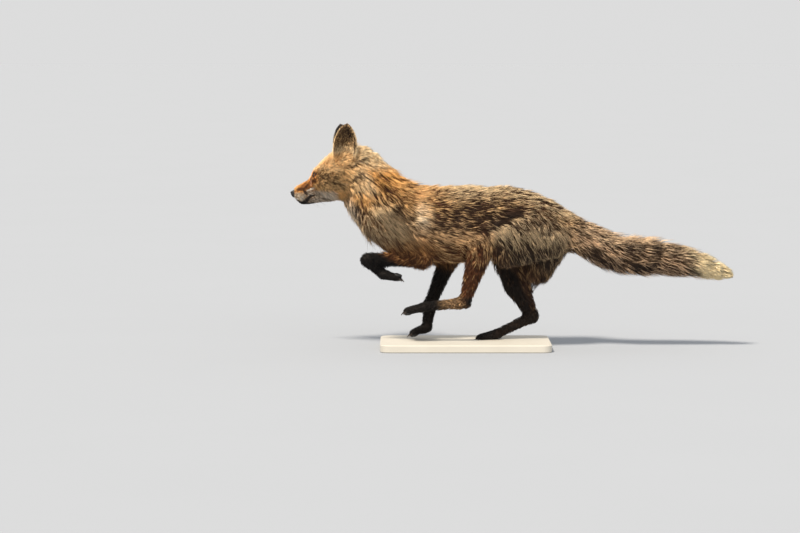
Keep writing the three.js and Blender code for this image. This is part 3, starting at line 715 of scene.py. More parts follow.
def leg_marks(points, share, down, mid, tip, pale):
    """Fawn and chestnut down to the black socks, which start higher on the far legs as painted shade;
    far_down counts joints from the leg's root.
    """
    for name in LEGS:
        own, far_down = share[name], down[name]
        near = name.endswith("left")
        _, joints = leg_joints(name)
        if name.startswith("foreleg"):
            # On the far foreleg the black starts higher: painted shade under the body over the black sock.
            black_from = 1.5 if near else 0.95
            sock_and_shade = fade(far_down, black_from, black_from + 0.4)
            paint(mid, "chestnut", own * fade(far_down, 0.5, 0.95) * 0.8)
            paint(mid, "fawn", own * fade(far_down, 0.8, 0.3) * 0.5)
            paint(tip, "cream", own * fade(far_down, 0.7, 0.3) * 0.6)
            paint(tip, "amber", own * fade(far_down, 0.6, 1.0) * 0.6)
            pale += own * fade(far_down, 1.0, 0.5) * 0.1
        else:
            # On the far hindleg the black starts high up the thigh: painted shade under the body over the
            # black sock.
            black_from = 2.35 if near else 0.75
            sock_and_shade = fade(far_down, black_from, black_from + 0.5)
            knee, hock = joints[1:3]
            across = unit(np.array([hock[2] - knee[2], 0, knee[0] - hock[0]]))
            behind = (points - knee) @ across * -1
            # The back of the far thigh keeps its brown where light reaches past the body; only its front
            # takes the painted shade.
            if not near:
                sock_and_shade = sock_and_shade * (1 - 0.8 * fade(behind, 0, 14) * fade(far_down, 2.1, 1.9))
            paint(tip, "cream", own * fade(far_down, 1.0, 0.7) * 0.6)
            paint(mid, "chestnut", own * fade(far_down, 0.75, 1.1) * 0.75)
            paint(mid, "rufous", own * fade(far_down, 0.85, 1.2) * fade(behind, 12, -8) * 0.15)
            paint(mid, "fawn", own * fade(far_down, 1.9, 2.1) * 0.75)
            paint(tip, "straw", own * fade(far_down, 0.9, 1.3) * 0.7)
            heel = np.linalg.norm(points - hock - (6, 0, 2), axis=1)
            sock_and_shade = np.maximum(sock_and_shade, fade(heel, 20, 11) * (points[:, 0] > hock[0] - 8))
        paint(mid, "black", own * sock_and_shade)
        paint(tip, "black", own * sock_and_shade)
        pale -= own * 0.12 * fade(far_down, 1.0, 2.0)


def tail_marks(points, share, mid, tip, pale):
    """A brown brush, darker below and ticked half way along, with a straw end."""
    x, z = points[:, 0], points[:, 2]
    own = share["tail"]
    along, middle, radius, fur_depth = np.array(TAIL).T
    up = (z - np.interp(x, along, middle)) / np.interp(x, along, radius - fur_depth)
    paint(mid, "umber", own * 0.9)
    paint(mid, "fawn", own * fade(up, 0.3, -0.3) * fade(up, -0.9, -0.5) * 0.2)
    paint(mid, "dark", own * fade(up, -0.1, -0.8) * 0.3)
    paint(mid, "fawn", own * fade(x, 200, 150) * 0.35)
    paint(tip, "pink_tan", own * 0.9)
    paint(tip, "cream", own * fade(up, 0.2, 0.9) * 0.2)
    ticked = fade(x, 230, 320) * fade(x, 430, 380)
    paint(mid, "dark", own * ticked * fade(up, -0.1, -0.8) * 0.4)
    brush_end = fade(x + 14 * clouds(points, 34, 8), 392, 458)
    paint(mid, "tip_straw", own * brush_end * 0.7)
    paint(tip, "tip_straw", own * brush_end)
    pale += own * (0.05 + 0.02 * fade(up, -0.3, -0.6) - 0.06 * fade(up, -0.2, -0.8) + 0.36 * brush_end)


def head_marks(points, share, mid, tip, pale, normals):
    """The mask, placed on the head as it looks straight ahead."""
    own = share["head"]
    local = placed(points, UNTURN_HEAD)
    x, y, z = local.T
    side = fade(np.abs(y), 5, 11)

    def mark(name, amount, tips=None):
        paint(mid, name, own * amount)
        paint(tip, tips or name, own * amount)

    paint(mid, "amber", own * 0.95)
    paint(mid, "rufous", own * 0.45)
    paint(tip, "gold", own * 0.9)
    cheek = fade(x, -458, -440) * fade(z, 406, 386) * fade(z, 340, 356)
    paint(mid, "umber", own * cheek * 0.85)
    paint(mid, "dark", own * cheek * 0.3)
    paint(tip, "straw", own * cheek)
    pale += own * (0.3 - 0.18 * cheek)
    muzzle = fade(x, -452, -468) * fade(z, 340, 350)
    mark("rufous", muzzle * 0.75, "amber")
    streaks = clouds(local * (0.35, 1, 1), 7, 5) * own
    mid *= 1 + 0.4 * streaks[:, None]
    tip *= 1 + 0.25 * streaks[:, None]
    mark("gold", stroke(local, NOSE_LINE) * 0.85)
    for name, strength, path in BRIDGE_STROKES:
        mark(name, stroke(local, path) * strength * side)
    mark("gold", fade(z, 384, 398) * fade(x, -380, -400) * 0.6, "cream")
    flecks = clouds(local * (0.6, 1, 1), 5, 12)
    jaw = fade(z, 352, 342) * fade(x, -488, -478) * fade(x, -398, -412)
    mark("grey_brown", jaw * 0.75, "white")
    mark("umber", jaw * fade(flecks, 0, 0.6) * 0.6)
    pad = fade(z, 344, 336) * fade(x, -482, -490)
    mark("ash", pad * (0.7 - 0.3 * flecks), "white")
    mark("grey_brown", pad * fade(flecks, 0.1, 0.7) * 0.6)
    pale += own * (0.15 * pad - 0.02 * jaw)
    for name, strength, path in CHEEK_STROKES:
        mark(name, stroke(local, path) * strength * side)
    for sign in (-1, 1):
        almond, depth, _ = eye_opening(local, sign)
        mark("black", fade(almond, 3, 1.2) * (depth > 0) * 0.97)
    mark("black", stroke(local, EYE_CORNER) * side * 0.9)
    for lip in LIPS:
        mark("black", stroke(local, lip) * 0.97)
    for ear in EAR_FORMS:
        ear_marks(points, share[ear.part], ear, mid, tip, pale, normals)


def ear_marks(points, own, ear, mid, tip, pale, normals):
    """Black behind, and a straw and cream fringe inside and on the front rim."""
    local = placed(points, ear.unturn)
    facing = normals @ ear.turn[:3, 2]
    inside = fade(facing, -0.1, 0.35)
    up = local[:, 1] / EAR["height"]
    half = np.interp(up, *zip(*EAR_OUTLINE)) * EAR["radius"] + 1
    forward = local[:, 0] / half * (-1 if ear.part == "ear_left" else 1)
    paint(mid, "black", own * (1 - inside))
    paint(tip, "dark", own * (1 - inside))
    paint(mid, "umber", own * inside)
    paint(mid, "dark", own * inside * fade(forward, 0.2, -0.4) * fade(up, 0.1, 0.35) * 0.8)
    paint(tip, "straw", own * inside)
    paint(tip, "cream", own * inside * fade(up, 0.45, 0.2))
    rim = fade(np.abs(forward), 0.84, 1.0) * fade(local[:, 2], -9, 0)
    paint(mid, "straw", own * rim * 0.9)
    paint(tip, "cream", own * rim)
    paint(mid, "dark", own * fade(up, 0.86, 0.96) * 0.8 * (1 - rim))
    paint(mid, "amber", own * fade(up, 0.2, 0.02) * 0.9)
    paint(tip, "gold", own * fade(up, 0.24, 0.02))
    fringe = inside * (0.25 * fade(up, 0.4, 0.15) - 0.1)
    pale += own * (fringe + 0.4 * rim - 0.3 * (1 - inside) * fade(up, 0.05, 0.2))


# ---- Where the coat grows ---------------------------------------------------------------------

FORMS = forms_of(WHOLE)
PARTS = sorted({form.part for form in FORMS})
# How many mm from a form its hold on the fur's colour, depth and lie falls to about a third.
SPREAD = {"ear": 3.0, "body": 9.0}


def ownership(points):
    """How much each part owns each point, the depth of the coat there and the way that the fur lies."""
    weights = []
    for form in FORMS:
        spread = SPREAD["ear" if form.part.startswith("ear") else "body"]
        weights.append(np.exp(-np.clip(form.distance(points, True), 0, 120) / spread))
    weights = np.array(weights)
    weights /= np.maximum(1e-9, weights.sum(0))
    share = {part: sum(w for w, form in zip(weights, FORMS) if form.part == part) for part in PARTS}
    depth = sum(w * form.coat for w, form in zip(weights, FORMS))
    lie = sum(w[:, None] * form.lie for w, form in zip(weights, FORMS))
    down = {}
    for leg in LEGS:
        steps = [w * form.progress(points) for w, form in zip(weights, FORMS) if form.part == leg]
        down[leg] = sum(steps) / np.maximum(1e-6, share[leg])
    return share, depth, lie, down


# ---- Tufts ------------------------------------------------------------------------------------

# Each coat piece: the parts it covers and between which x, tufts to a square centimetre (density), mm from
# lock to lock, root width in mm, rings along a tuft, length over the coat's depth (long), the lift of its
# roots, how far some locks stand proud (stray), how far tips are drawn together (gather), how far pale
# tufts come in locks (clumped), and how far their middle is pale too (bleached).
TRUNK_FUR = dict(parts=["trunk"], lock=4.6, width=1.4, rings=3, long=2.4, lift=0.42)
TAIL_FUR = dict(parts=["tail"], lock=5, width=1.4, rings=3, long=2.2, lift=0.55)
FORELEG_FUR = dict(density=48, lock=3.5, width=1.0, rings=1, long=2.6, lift=0.35)
HINDLEG_FUR = dict(lock=4.5, width=1.25, rings=2, long=2.4, lift=0.38)
COATS = {
    "fur_head": dict(parts=["head"], density=150, lock=3, width=0.8, rings=1, long=2.6, lift=0.4, stray=0.1,
                     gather=0.5, clumped=0.45, x=(-600, -330)),
    "fur_ears": dict(parts=["ear_left", "ear_right"], density=90, lock=2.4, width=0.7, rings=1, long=3.2,
                     lift=0.3, gather=0.4),
    "fur_neck": dict(parts=["neck"], density=28, lock=4.8, width=1.35, rings=3, long=2.3, lift=0.55,
                     stray=0.6, clumped=0.62, bleached=0.65),
    "fur_shoulders": dict(TRUNK_FUR, density=22, x=(-600, -160)),
    "fur_flanks": dict(TRUNK_FUR, density=20, x=(-160, 0)),
    "fur_rump": dict(TRUNK_FUR, density=20, x=(0, 600)),
    "fur_tail": dict(TAIL_FUR, density=32, x=(-600, 330)),
    "fur_tail_end": dict(TAIL_FUR, density=34, x=(330, 600)),
    "fur_foreleg_left": dict(FORELEG_FUR, parts=["foreleg_left"]),
    "fur_foreleg_right": dict(FORELEG_FUR, parts=["foreleg_right"]),
    "fur_hindleg_left": dict(HINDLEG_FUR, parts=["hindleg_left"], density=28),
    "fur_hindleg_right": dict(HINDLEG_FUR, parts=["hindleg_right"], density=26),
}
USUAL_FUR = dict(x=(-600, 600), stray=0.2, gather=0.75, clumped=0.5, bleached=0.3)
# Where a tuft bends, as a share of its length, and how it rises there and at its tip.
BEND = {"at": 0.42, "rise": 1.5, "tip_rise": 0.1, "gather": 0.3}
# Shares of the coat's depth: how deep the deepest locks lie, how loose the tips are within a lock, and how
# far under its tips a lock bends. A tip lies no further from its bend than reach, a share of its length.
LAYERS = {"deep": 0.62, "loose": 0.14, "bend_under": 0.12, "reach": 0.75}
# How a tuft's colour falls back: in the plain hairs' middle and tip, and from the top layer to the deepest,
# where the fall is painted shade between the locks over their darker wool.
PLAIN_HAIR = {"mid": 0.68, "tip": 0.6}
LAYER_SHADE_AND_TONE = {"top": 1.5, "fall": 0.95}
BRIGHTEST = 0.92
# How wide a tuft's patch on the unwrap is, and the gap between the unwrap's islands.
PATCH = 0.003


def scatter(points, quads, amount, rng):
    """Roots spread evenly over faces that each want a fractional amount of them."""
    total = np.concatenate([[0], np.cumsum(amount)])
    count = int(total[-1])
    picks = (np.arange(count) + rng.random(count)) * total[-1] / count
    face = np.clip(np.searchsorted(total, picks, side="right") - 1, 0, len(quads) - 1)
    s, t = rng.random(count), rng.random(count)
    blend = np.stack([(1 - s) * (1 - t), s * (1 - t), s * t, (1 - s) * t], 1)
    corners = points[quads[face]]
    return face, blend, (corners * blend[..., None]).sum(1)


def nearest(centres, points):
    """For each point, the number of the closest centre."""
    tree = KDTree(len(centres))
    for i, centre in enumerate(centres):
        tree.insert(centre, i)
    tree.balance()
    return np.array([tree.find(p)[1] for p in points])


def unwrapped(name, points, quads):
    """A flat unwrap of some faces of the skin: the place of each corner of each face."""
    used, compact = np.unique(quads, return_inverse=True)
    mesh = bpy.data.meshes.new(name + "_unwrap")
    mesh.from_pydata(metres(points[used]).tolist(), [], compact.reshape(quads.shape).tolist())
    piece = bpy.data.objects.new(name + "_unwrap", mesh)
    bpy.context.scene.collection.objects.link(piece)
    bpy.context.view_layer.objects.active = piece
    piece.select_set(True)
    bpy.ops.object.mode_set(mode="EDIT")
    bpy.ops.mesh.select_all(action="SELECT")
    bpy.ops.uv.smart_project(angle_limit=math.radians(66), island_margin=PATCH)
    bpy.ops.object.mode_set(mode="OBJECT")
    places = np.zeros(len(quads) * 4 * 2, np.float32)
    mesh.uv_layers.active.data.foreach_get("uv", places)
    bpy.data.objects.remove(piece)
    bpy.data.meshes.remove(mesh)
    return places.reshape(len(quads), 4, 2)


# How far hair hangs down out of its lie.
HANG = 0.22


def comb(lie, normals, rng, loose):
    """Unit vectors along the skin near the way that the fur lies, each turned a little."""
    stray = rng.normal(0, loose, (len(lie), 3))
    along = unit(lie) + (0, 0, -HANG) + stray
    along -= normals * (along * normals).sum(1, keepdims=True)
    return unit(along)


# How far over the coat's outline the top layer ends.
OVER_OUTLINE = 0.6


def fitted_to_coat(roots, tips, depth, layer):
    """Moves tips to their own layer, a share of the coat's depth under its outline, or higher where
    a fold of skin stands out further than the flesh under it."""
    raised = np.maximum(0, depth + reach_at(WHOLE, roots, False))
    wanted = OVER_OUTLINE + raised - depth * layer
    for _ in range(2):
        out = reach_at(WHOLE, tips, False)
        slope = np.stack([reach_at(WHOLE, tips + step, False) - out for step in np.eye(3) * 0.5], 1)
        move = np.clip(out - wanted, -0.6 * depth, 60)
        tips = tips - unit(slope) * move[:, None]
    return tips


def tuft_curves(roots, normals, lie, depth, style, rng):
    """Bend and tip of each tuft, with neighbours drawn together into locks, and how sunk each lock is."""
    count = len(roots)
    locks = max(1, int(count / (style["density"] * style["lock"] ** 2 / 100)))
    centres = rng.permutation(count)[:locks]
    lock = nearest(roots[centres], roots)
    lock_length = rng.uniform(0.7, 1.25, locks)
    length = depth * style["long"] * lock_length[lock] * rng.uniform(0.7, 1.1, count)
    sway = rng.normal(0, 0.22, (locks, 3))[lock]
    along = comb(lie + sway, normals, rng, 0.1)
    lift = style["lift"] * rng.uniform(0.6, 1.35, count)[:, None]
    bend = roots + (along + normals * lift * BEND["rise"]) * length[:, None] * BEND["at"]
    tips = bend + (along + normals * lift * BEND["tip_rise"]) * length[:, None] * (1 - BEND["at"])
    inward = roots[centres][lock] - roots
    pull = rng.uniform(0.5, 1.0, count)[:, None] * style["gather"]
    tips = tips + inward * pull
    bend = bend + inward * pull * BEND["gather"]
    sunk = rng.random(locks)[lock]
    proud = rng.random(locks)[lock] ** 2.2 * style["stray"]
    layer = LAYERS["deep"] * sunk ** 1.3 - proud + rng.uniform(0, LAYERS["loose"], count)
    bend = fitted_to_coat(roots, bend, depth, np.maximum(layer, 0) + LAYERS["bend_under"])
    tips = fitted_to_coat(roots, tips, depth, layer)
    far = np.linalg.norm(tips - bend, axis=1)
    tips = bend + (tips - bend) * np.minimum(1, length * LAYERS["reach"] / far)[:, None]
    return bend, tips, lock, sunk


def dye(mesh, colours):
    """Puts the coat's colours on a mesh, point by point."""
    shade = np.ones((len(colours), 4), np.float32)
    shade[:, :3] = colours
    fur = mesh.color_attributes.new("fur", "FLOAT_COLOR", "POINT")
    fur.data.foreach_set("color", shade.ravel())


# How far along a tuft of a single ring its root is coloured.
ONE_RING = 0.34


def tuft_mesh(name, roots, normals, bend, tips, width, rings, colours, places):
    """One closed mesh of thin three-sided tufts, with their colours and a small patch of the unwrap each."""
    count = len(roots)
    start = roots - normals * 0.8
    steps = np.linspace(0, 1, rings + 1)[:-1] * 0.92
    per = 3 * rings + 1
    verts = np.zeros((count, per, 3))
    shade = np.zeros((count, per, 3), np.float32)
    flat = np.zeros((count, per, 2))
    for r, t in enumerate(steps):
        centre = start * (1 - t) ** 2 + bend * 2 * t * (1 - t) + tips * t * t
        ahead = unit((bend - start) * (1 - t) + (tips - bend) * t)
        across = unit(np.cross(ahead, normals))
        up = np.cross(across, ahead)
        size = (width * (1 - 0.45 * t))[:, None]
        for j in range(3):
            a = math.radians(90 + 120 * j)
            out = across * math.cos(a) + up * math.sin(a) * 0.6
            verts[:, 3 * r + j] = centre + out * size * 0.6
            flat[:, 3 * r + j] = (j / 2 - 0.5, t - 0.5)
        shade[:, 3 * r:3 * r + 3] = blended(colours, t if rings > 1 else ONE_RING)[:, None]
    verts[:, -1] = tips
    flat[:, -1] = (0, 0.5)
    shade[:, -1] = colours[2]
    faces = [[0, 1, 2]]
    for r in range(rings - 1):
        faces += [[3 * r + j, 3 * r + 3 + j, 3 * r + 3 + (j + 1) % 3, 3 * r + (j + 1) % 3] for j in range(3)]
    last = 3 * (rings - 1)
    faces += [[last + j, per - 1, last + (j + 1) % 3] for j in range(3)]
    corners = np.concatenate([np.array(f) for f in faces])
    sizes = np.array([len(f) for f in faces])
    loops = (corners[None] + np.arange(count)[:, None] * per).ravel()
    mesh = bpy.data.meshes.new(name)
    mesh.vertices.add(count * per)
    mesh.vertices.foreach_set("co", metres(verts.reshape(-1, 3)).astype(np.float32).ravel())
    mesh.loops.add(len(loops))
    mesh.loops.foreach_set("vertex_index", loops.astype(np.int32))
    mesh.polygons.add(count * len(faces))
    totals = np.tile(sizes, count)
    mesh.polygons.foreach_set("loop_start", (np.cumsum(totals) - totals).astype(np.int32))
    mesh.polygons.foreach_set("loop_total", totals.astype(np.int32))
    mesh.polygons.foreach_set("use_smooth", np.ones(len(totals), bool))
    mesh.update(calc_edges=True)
    dye(mesh, shade.reshape(-1, 3))
    patch = places[:, None] + flat * PATCH
    unwrap = mesh.uv_layers.new(name="OFBake")
    unwrap.data.foreach_set("uv", patch.reshape(-1, 2)[loops].astype(np.float32).ravel())
    return mesh


def blended(colours, t):
    """A tuft's colour part of the way along: dark wool at the root, then its own colour, then its tip."""
    root, mid, tip = colours
    low = root + (mid - root) * min(1, t / 0.35)
    return low + (tip - low) * float(fade(t, 0.25, 0.75))


def coat(name, style, points, quads, normals, grown, rng):
    """One piece of the coat over the faces that its parts own."""
    style = USUAL_FUR | style
    low, high = style["x"]
    centre = points[quads].mean(1)
    mine = np.isin(grown["owner"][quads[:, 0]], [PARTS.index(part) for part in style["parts"]])
    mine &= (centre[:, 0] >= low) & (centre[:, 0] < high)
    faces = quads[mine]
    area = np.linalg.norm(face_normals(points, faces), axis=1)
    furred = 1 - grown["bald"][faces].mean(1)
    face, blend, roots = scatter(points, faces, area * style["density"] / 100 * furred, rng)
    corner = faces[face]

    def carried(values):
        return (values[corner] * (blend[..., None] if values.ndim > 1 else blend)).sum(1)

    up = unit(carried(normals))
    lie, depth = carried(grown["lie"]), carried(grown["depth"])
    bend, tips, lock, sunk = tuft_curves(roots, up, lie, depth, style, rng)
    colours = tuft_colours(roots + (tips - roots) * 0.6, up, lock, sunk, style, rng)
    width = style["width"] * rng.uniform(0.7, 1.25, len(roots))
    places = (unwrapped(name, points, faces)[face] * blend[..., None]).sum(1)
    mesh = tuft_mesh(name, roots, up, bend, tips, width, style["rings"], colours, places)
    add_piece(name, mesh, FUR_MATERIAL)


def tuft_colours(seen, up, lock, sunk, style, rng):
    """Root, middle and tip colour of each tuft, read where it is seen. Deep locks are painted darker and
    less often pale-tipped, as painted shade between the locks over their darker wool, and the face in front
    of the eyes is kept even."""
    share, _, _, down = ownership(seen)
    root, mid, tip, pale = markings(seen, share, down, up)
    even = share["head"] * fade(seen[:, 0], -455, -478)
    own_tone = rng.normal(0, 0.14, lock.max() + 1)[lock] + rng.normal(0, 0.15, len(seen))
    tone_and_shade = np.exp(own_tone) * (LAYER_SHADE_AND_TONE["top"] - LAYER_SHADE_AND_TONE["fall"] * sunk)
    tone_and_shade = tone_and_shade * (1 - 0.5 * even) + 0.5 * even
    # Sunk locks are less often pale-tipped: painted shade in the deeper layers.
    chance = rng.random(len(seen)) * (1 - style["clumped"]) + sunk * style["clumped"]
    chosen = (chance < pale)[:, None]
    mid = np.where(chosen, mid + (tip - mid) * style["bleached"], mid * PLAIN_HAIR["mid"])
    tip = np.where(chosen, tip, mid * PLAIN_HAIR["tip"])
    return [c * np.minimum(tone_and_shade, BRIGHTEST / c.max(1))[:, None] for c in (root, mid, tip)]


# ---- Materials --------------------------------------------------------------------------------

def add_node(tree, kind, settings=(), links=()):
    """Adds a node, sets its properties and inputs, and links sockets (node, output) to its inputs."""
    node = tree.nodes.new(kind)
    for key, value in dict(settings).items():
        if isinstance(key, str) and hasattr(node, key):
            setattr(node, key, value)
        else:
            node.inputs[key].default_value = value
    for key, (source, output) in dict(links).items():
        tree.links.new(source.outputs[output], node.inputs[key])
    return node


# The numbers of a colour Mix node's two colour inputs and of its colour output.
MIX_FIRST, MIX_SECOND, MIX_RESULT = 6, 7, 2


def new_material(name):
    """A material with an empty tree, and what adds a node to that tree."""
    material = bpy.data.materials.new(name)
    material.use_nodes = True
    material.node_tree.nodes.clear()
    return material, partial(add_node, material.node_tree)


def finished(material, shader):
    """The material, with its shader as the surface."""
    add_node(material.node_tree, "ShaderNodeOutputMaterial", {}, {"Surface": (shader, "BSDF")})
    return material


def fur_material():
    """Fox guard hair and wool: dyed by its own growth in bands, so its colours come with the mesh.
    A soft gloss runs along each tuft, and a mottle about 2.4 mm across keeps any two from matching."""
    material, add = new_material("fox_fur")
    colour = add("ShaderNodeAttribute", {"attribute_name": "fur"})
    place = add("ShaderNodeTexCoord")
    mottle = add("ShaderNodeTexNoise", {"Scale": 420.0, "Detail": 2.0}, {"Vector": (place, "Object")})
    level = add("ShaderNodeMapRange", {"From Min": 0.3, "From Max": 0.7, "To Min": 0.82, "To Max": 1.18},
                {"Value": (mottle, "Fac")})
    tinted = add("ShaderNodeVectorMath", {"operation": "SCALE"},
                 {0: (colour, "Color"), "Scale": (level, "Result")})
    shader = add("ShaderNodeBsdfPrincipled", {"Roughness": 0.58, "IOR": 1.55, "Specular IOR Level": 0.28},
                 {"Base Color": (tinted, "Vector")})
    return finished(material, shader)


def skin_material():
    """Skin under short wool: the coat's colours, darker, with a nap of streaks about 2.6 mm long, drawn
    coarser than real wool so that it shows."""
    material, add = new_material("fox_skin_with_nap")
    colour = add("ShaderNodeAttribute", {"attribute_name": "fur"})
    place = add("ShaderNodeTexCoord")
    stretch = add("ShaderNodeMapping", {"Scale": (1.0, 3.0, 3.0)}, {"Vector": (place, "Object")})
    nap = add("ShaderNodeTexNoise", {"Scale": 380.0, "Detail": 3.0, "Roughness": 0.6},
              {"Vector": (stretch, "Vector")})
    level = add("ShaderNodeMapRange", {"From Min": 0.3, "From Max": 0.7, "To Min": 0.75, "To Max": 1.2},
                {"Value": (nap, "Fac")})
    tinted = add("ShaderNodeVectorMath", {"operation": "SCALE"},
                 {0: (colour, "Color"), "Scale": (level, "Result")})
    relief = add("ShaderNodeBump", {"Strength": 0.7, "Distance": 0.0008}, {"Height": (nap, "Fac")})
    shader = add("ShaderNodeBsdfPrincipled", {"Roughness": 0.75, "Specular IOR Level": 0.2},
                 {"Base Color": (tinted, "Vector"), "Normal": (relief, "Normal")})
    return finished(material, shader)


# The iris from its middle outwards, in iris radii, and how much of the eyeball's radius it takes.
# The amber is painted dark, close to black, as painted shade from the upper lid over the iris's own amber.
IRIS_BANDS = [(0.0, "#2c1606"), (0.45, "#8a5314"), (0.8, "#5c310c"), (1.06, "#1c0d06"), (1.2, "#0a0605")]
IRIS_REACH = 1.35
IRIS_SHARE = 0.72


def eye_material():
    """Polished glass eye: dark ball, amber iris darkened as painted shade from the upper lid, with fine
    spokes, and an upright pupil. Its rings are read from the eye's own attribute: places across and up, in
    iris radii."""
    material, add = new_material("amber_glass_eye")
    place = add("ShaderNodeAttribute", {"attribute_name": "iris"})
    parts = add("ShaderNodeSeparateXYZ", {}, {"Vector": (place, "Vector")})
    radius = add("ShaderNodeVectorMath", {"operation": "LENGTH"}, {0: (place, "Vector")})
    angle = add("ShaderNodeMath", {"operation": "ARCTAN2"}, {0: (parts, "X"), 1: (parts, "Y")})
    around = add("ShaderNodeCombineXYZ", {}, {"X": (angle, "Value"), "Y": (radius, "Value")})
    stretch = add("ShaderNodeMapping", {"Scale": (9.0, 1.2, 1.0)}, {"Vector": (around, "Vector")})
    spokes = add("ShaderNodeTexNoise", {"Scale": 2.0, "Detail": 3.0}, {"Vector": (stretch, "Vector")})
    mixed = add("ShaderNodeMath", {"operation": "MULTIPLY_ADD", 1: 0.35},
                {0: (spokes, "Fac"), 2: (radius, "Value")})
    scaled = add("ShaderNodeMath", {"operation": "DIVIDE", 1: IRIS_REACH}, {0: (mixed, "Value")})
    ramp = add("ShaderNodeValToRGB", {}, {"Fac": (scaled, "Value")})
    bands = ramp.color_ramp.elements
    bands.remove(bands[1])
    for i, (at, code) in enumerate(IRIS_BANDS):
        band = bands.new(at / IRIS_REACH) if i else bands[0]
        band.position = at / IRIS_REACH
        band.color = (*linear(code), 1)
    squeeze = add("ShaderNodeMapping", {"Scale": (2.6, 1.15, 1.0)}, {"Vector": (place, "Vector")})
    slit = add("ShaderNodeVectorMath", {"operation": "LENGTH"}, {0: (squeeze, "Vector")})
    pupil = add("ShaderNodeMapRange", {"From Min": 0.62, "From Max": 0.74}, {"Value": (slit, "Value")})
    colour = add("ShaderNodeMix", {"data_type": "RGBA", MIX_FIRST: (0.002, 0.002, 0.002, 1)},
                 {"Factor": (pupil, "Result"), MIX_SECOND: (ramp, "Color")})
    shader = add("ShaderNodeBsdfPrincipled", {"Roughness": 0.05, "IOR": 1.45},
                 {"Base Color": (colour, MIX_RESULT)})
    return finished(material, shader)


def nose_material():
    """Bare nose leather: black and moist, with pebbles about 0.7 mm across."""
    material, add = new_material("moist_nose_leather")
    place = add("ShaderNodeTexCoord")
    pebbles = add("ShaderNodeTexVoronoi", {"Scale": 1500.0}, {"Vector": (place, "Object")})
    relief = add("ShaderNodeBump", {"Strength": 0.6, "Distance": 0.0004}, {"Height": (pebbles, "Distance")})
    dryness = add("ShaderNodeMapRange", {"From Max": 0.5, "To Min": 0.35, "To Max": 0.6},
                  {"Value": (pebbles, "Distance")})
    shader = add("ShaderNodeBsdfPrincipled",
                 {"Base Color": (*linear("#100e0e"), 1), "Coat Weight": 0.12, "Coat Roughness": 0.35},
                 {"Roughness": (dryness, "Result"), "Normal": (relief, "Normal")})
    return finished(material, shader)


def horn_material(name, code, roughness):
    """Dark horn or bristle: smooth and satin, with faint lighter patches about 1.7 mm across."""
    material, add = new_material(name)
    place = add("ShaderNodeTexCoord")
    streaks = add("ShaderNodeTexNoise", {"Scale": 600.0, "Detail": 2.0}, {"Vector": (place, "Object")})
    dark, light = linear(code), [min(1, 1.9 * v) for v in linear(code)]
    colour = add("ShaderNodeMix", {"data_type": "RGBA", MIX_FIRST: (*dark, 1), MIX_SECOND: (*light, 1)},
                 {"Factor": (streaks, "Fac")})
    shader = add("ShaderNodeBsdfPrincipled", {"Roughness": roughness, "IOR": 1.54},
                 {"Base Color": (colour, MIX_RESULT)})
    return finished(material, shader)


def board_material():
    """Fibreboard under matt warm-grey lacquer: the roller leaves an orange-peel texture 2 mm across."""
    material, add = new_material("matt_lacquered_fibreboard")
    place = add("ShaderNodeTexCoord")
    peel = add("ShaderNodeTexNoise", {"Scale": 500.0, "Detail": 2.0}, {"Vector": (place, "Object")})
    cloud = add("ShaderNodeTexNoise", {"Scale": 9.0, "Detail": 3.0}, {"Vector": (place, "Object")})
    greys = {MIX_FIRST: (*linear("#b9b4a8"), 1), MIX_SECOND: (*linear("#c9c4b9"), 1)}
    colour = add("ShaderNodeMix", {"data_type": "RGBA"} | greys, {"Factor": (cloud, "Fac")})
    rough = add("ShaderNodeMapRange", {"To Min": 0.5, "To Max": 0.7}, {"Value": (cloud, "Fac")})
    relief = add("ShaderNodeBump", {"Strength": 0.25, "Distance": 0.0003}, {"Height": (peel, "Fac")})
    shader = add("ShaderNodeBsdfPrincipled", {"IOR": 1.5},
                 {"Base Color": (colour, MIX_RESULT), "Roughness": (rough, "Result"),
                  "Normal": (relief, "Normal")})
    return finished(material, shader)


# The even brightness all round, and two broad lamps, a key high on the fox's left and a weak fill below it:
# the way to each, its strength, its spread in degrees and its colour.
SURROUND = 0.72
LAMPS = {
    "key": ((-0.35, -0.62, 1.0), 4.7, 11, "#fff4e4"),
    "fill": ((0.5, -1.0, 0.35), 0.7, 60, "#f8f6f4"),
}


def floor_paint():
    """The floor's colour that, under these lamps, looks as bright as the surround, so no horizon shows."""
    lit = np.zeros(3)
    for towards, strength, _, code in LAMPS.values():
        lit += np.array(linear(code)) * strength * unit(np.array(towards))[2] / math.pi
    return SURROUND / (SURROUND + lit)


def floor_material():
    """Plain pale studio floor, matt."""
    material, add = new_material("pale_studio_floor")
    place = add("ShaderNodeTexCoord")
    grain = add("ShaderNodeTexNoise", {"Scale": 2.0}, {"Vector": (place, "Object")})
    paints = {MIX_FIRST: (*floor_paint() * 0.99, 1), MIX_SECOND: (*floor_paint() * 1.01, 1)}
    colour = add("ShaderNodeMix", {"data_type": "RGBA"} | paints, {"Factor": (grain, "Fac")})
    shader = add("ShaderNodeBsdfPrincipled", {"Roughness": 0.9, "Specular IOR Level": 0.0},
                 {"Base Color": (colour, MIX_RESULT)})
    return finished(material, shader)


# ---- Pieces -----------------------------------------------------------------------------------

def add_piece(name, mesh, material):
    """Puts a finished mesh in the scene as a piece of the model's one body."""
    piece = bpy.data.objects.new(name, mesh)
    bpy.context.scene.collection.objects.link(piece)
    mesh.materials.append(material)
    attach(piece, "root")
    return piece


def quad_mesh(name, points, quads):
    mesh = bpy.data.meshes.new(name)
    mesh.from_pydata(metres(points).tolist(), [], quads.tolist())
    mesh.polygons.foreach_set("use_smooth", np.ones(len(quads), bool))
    return mesh


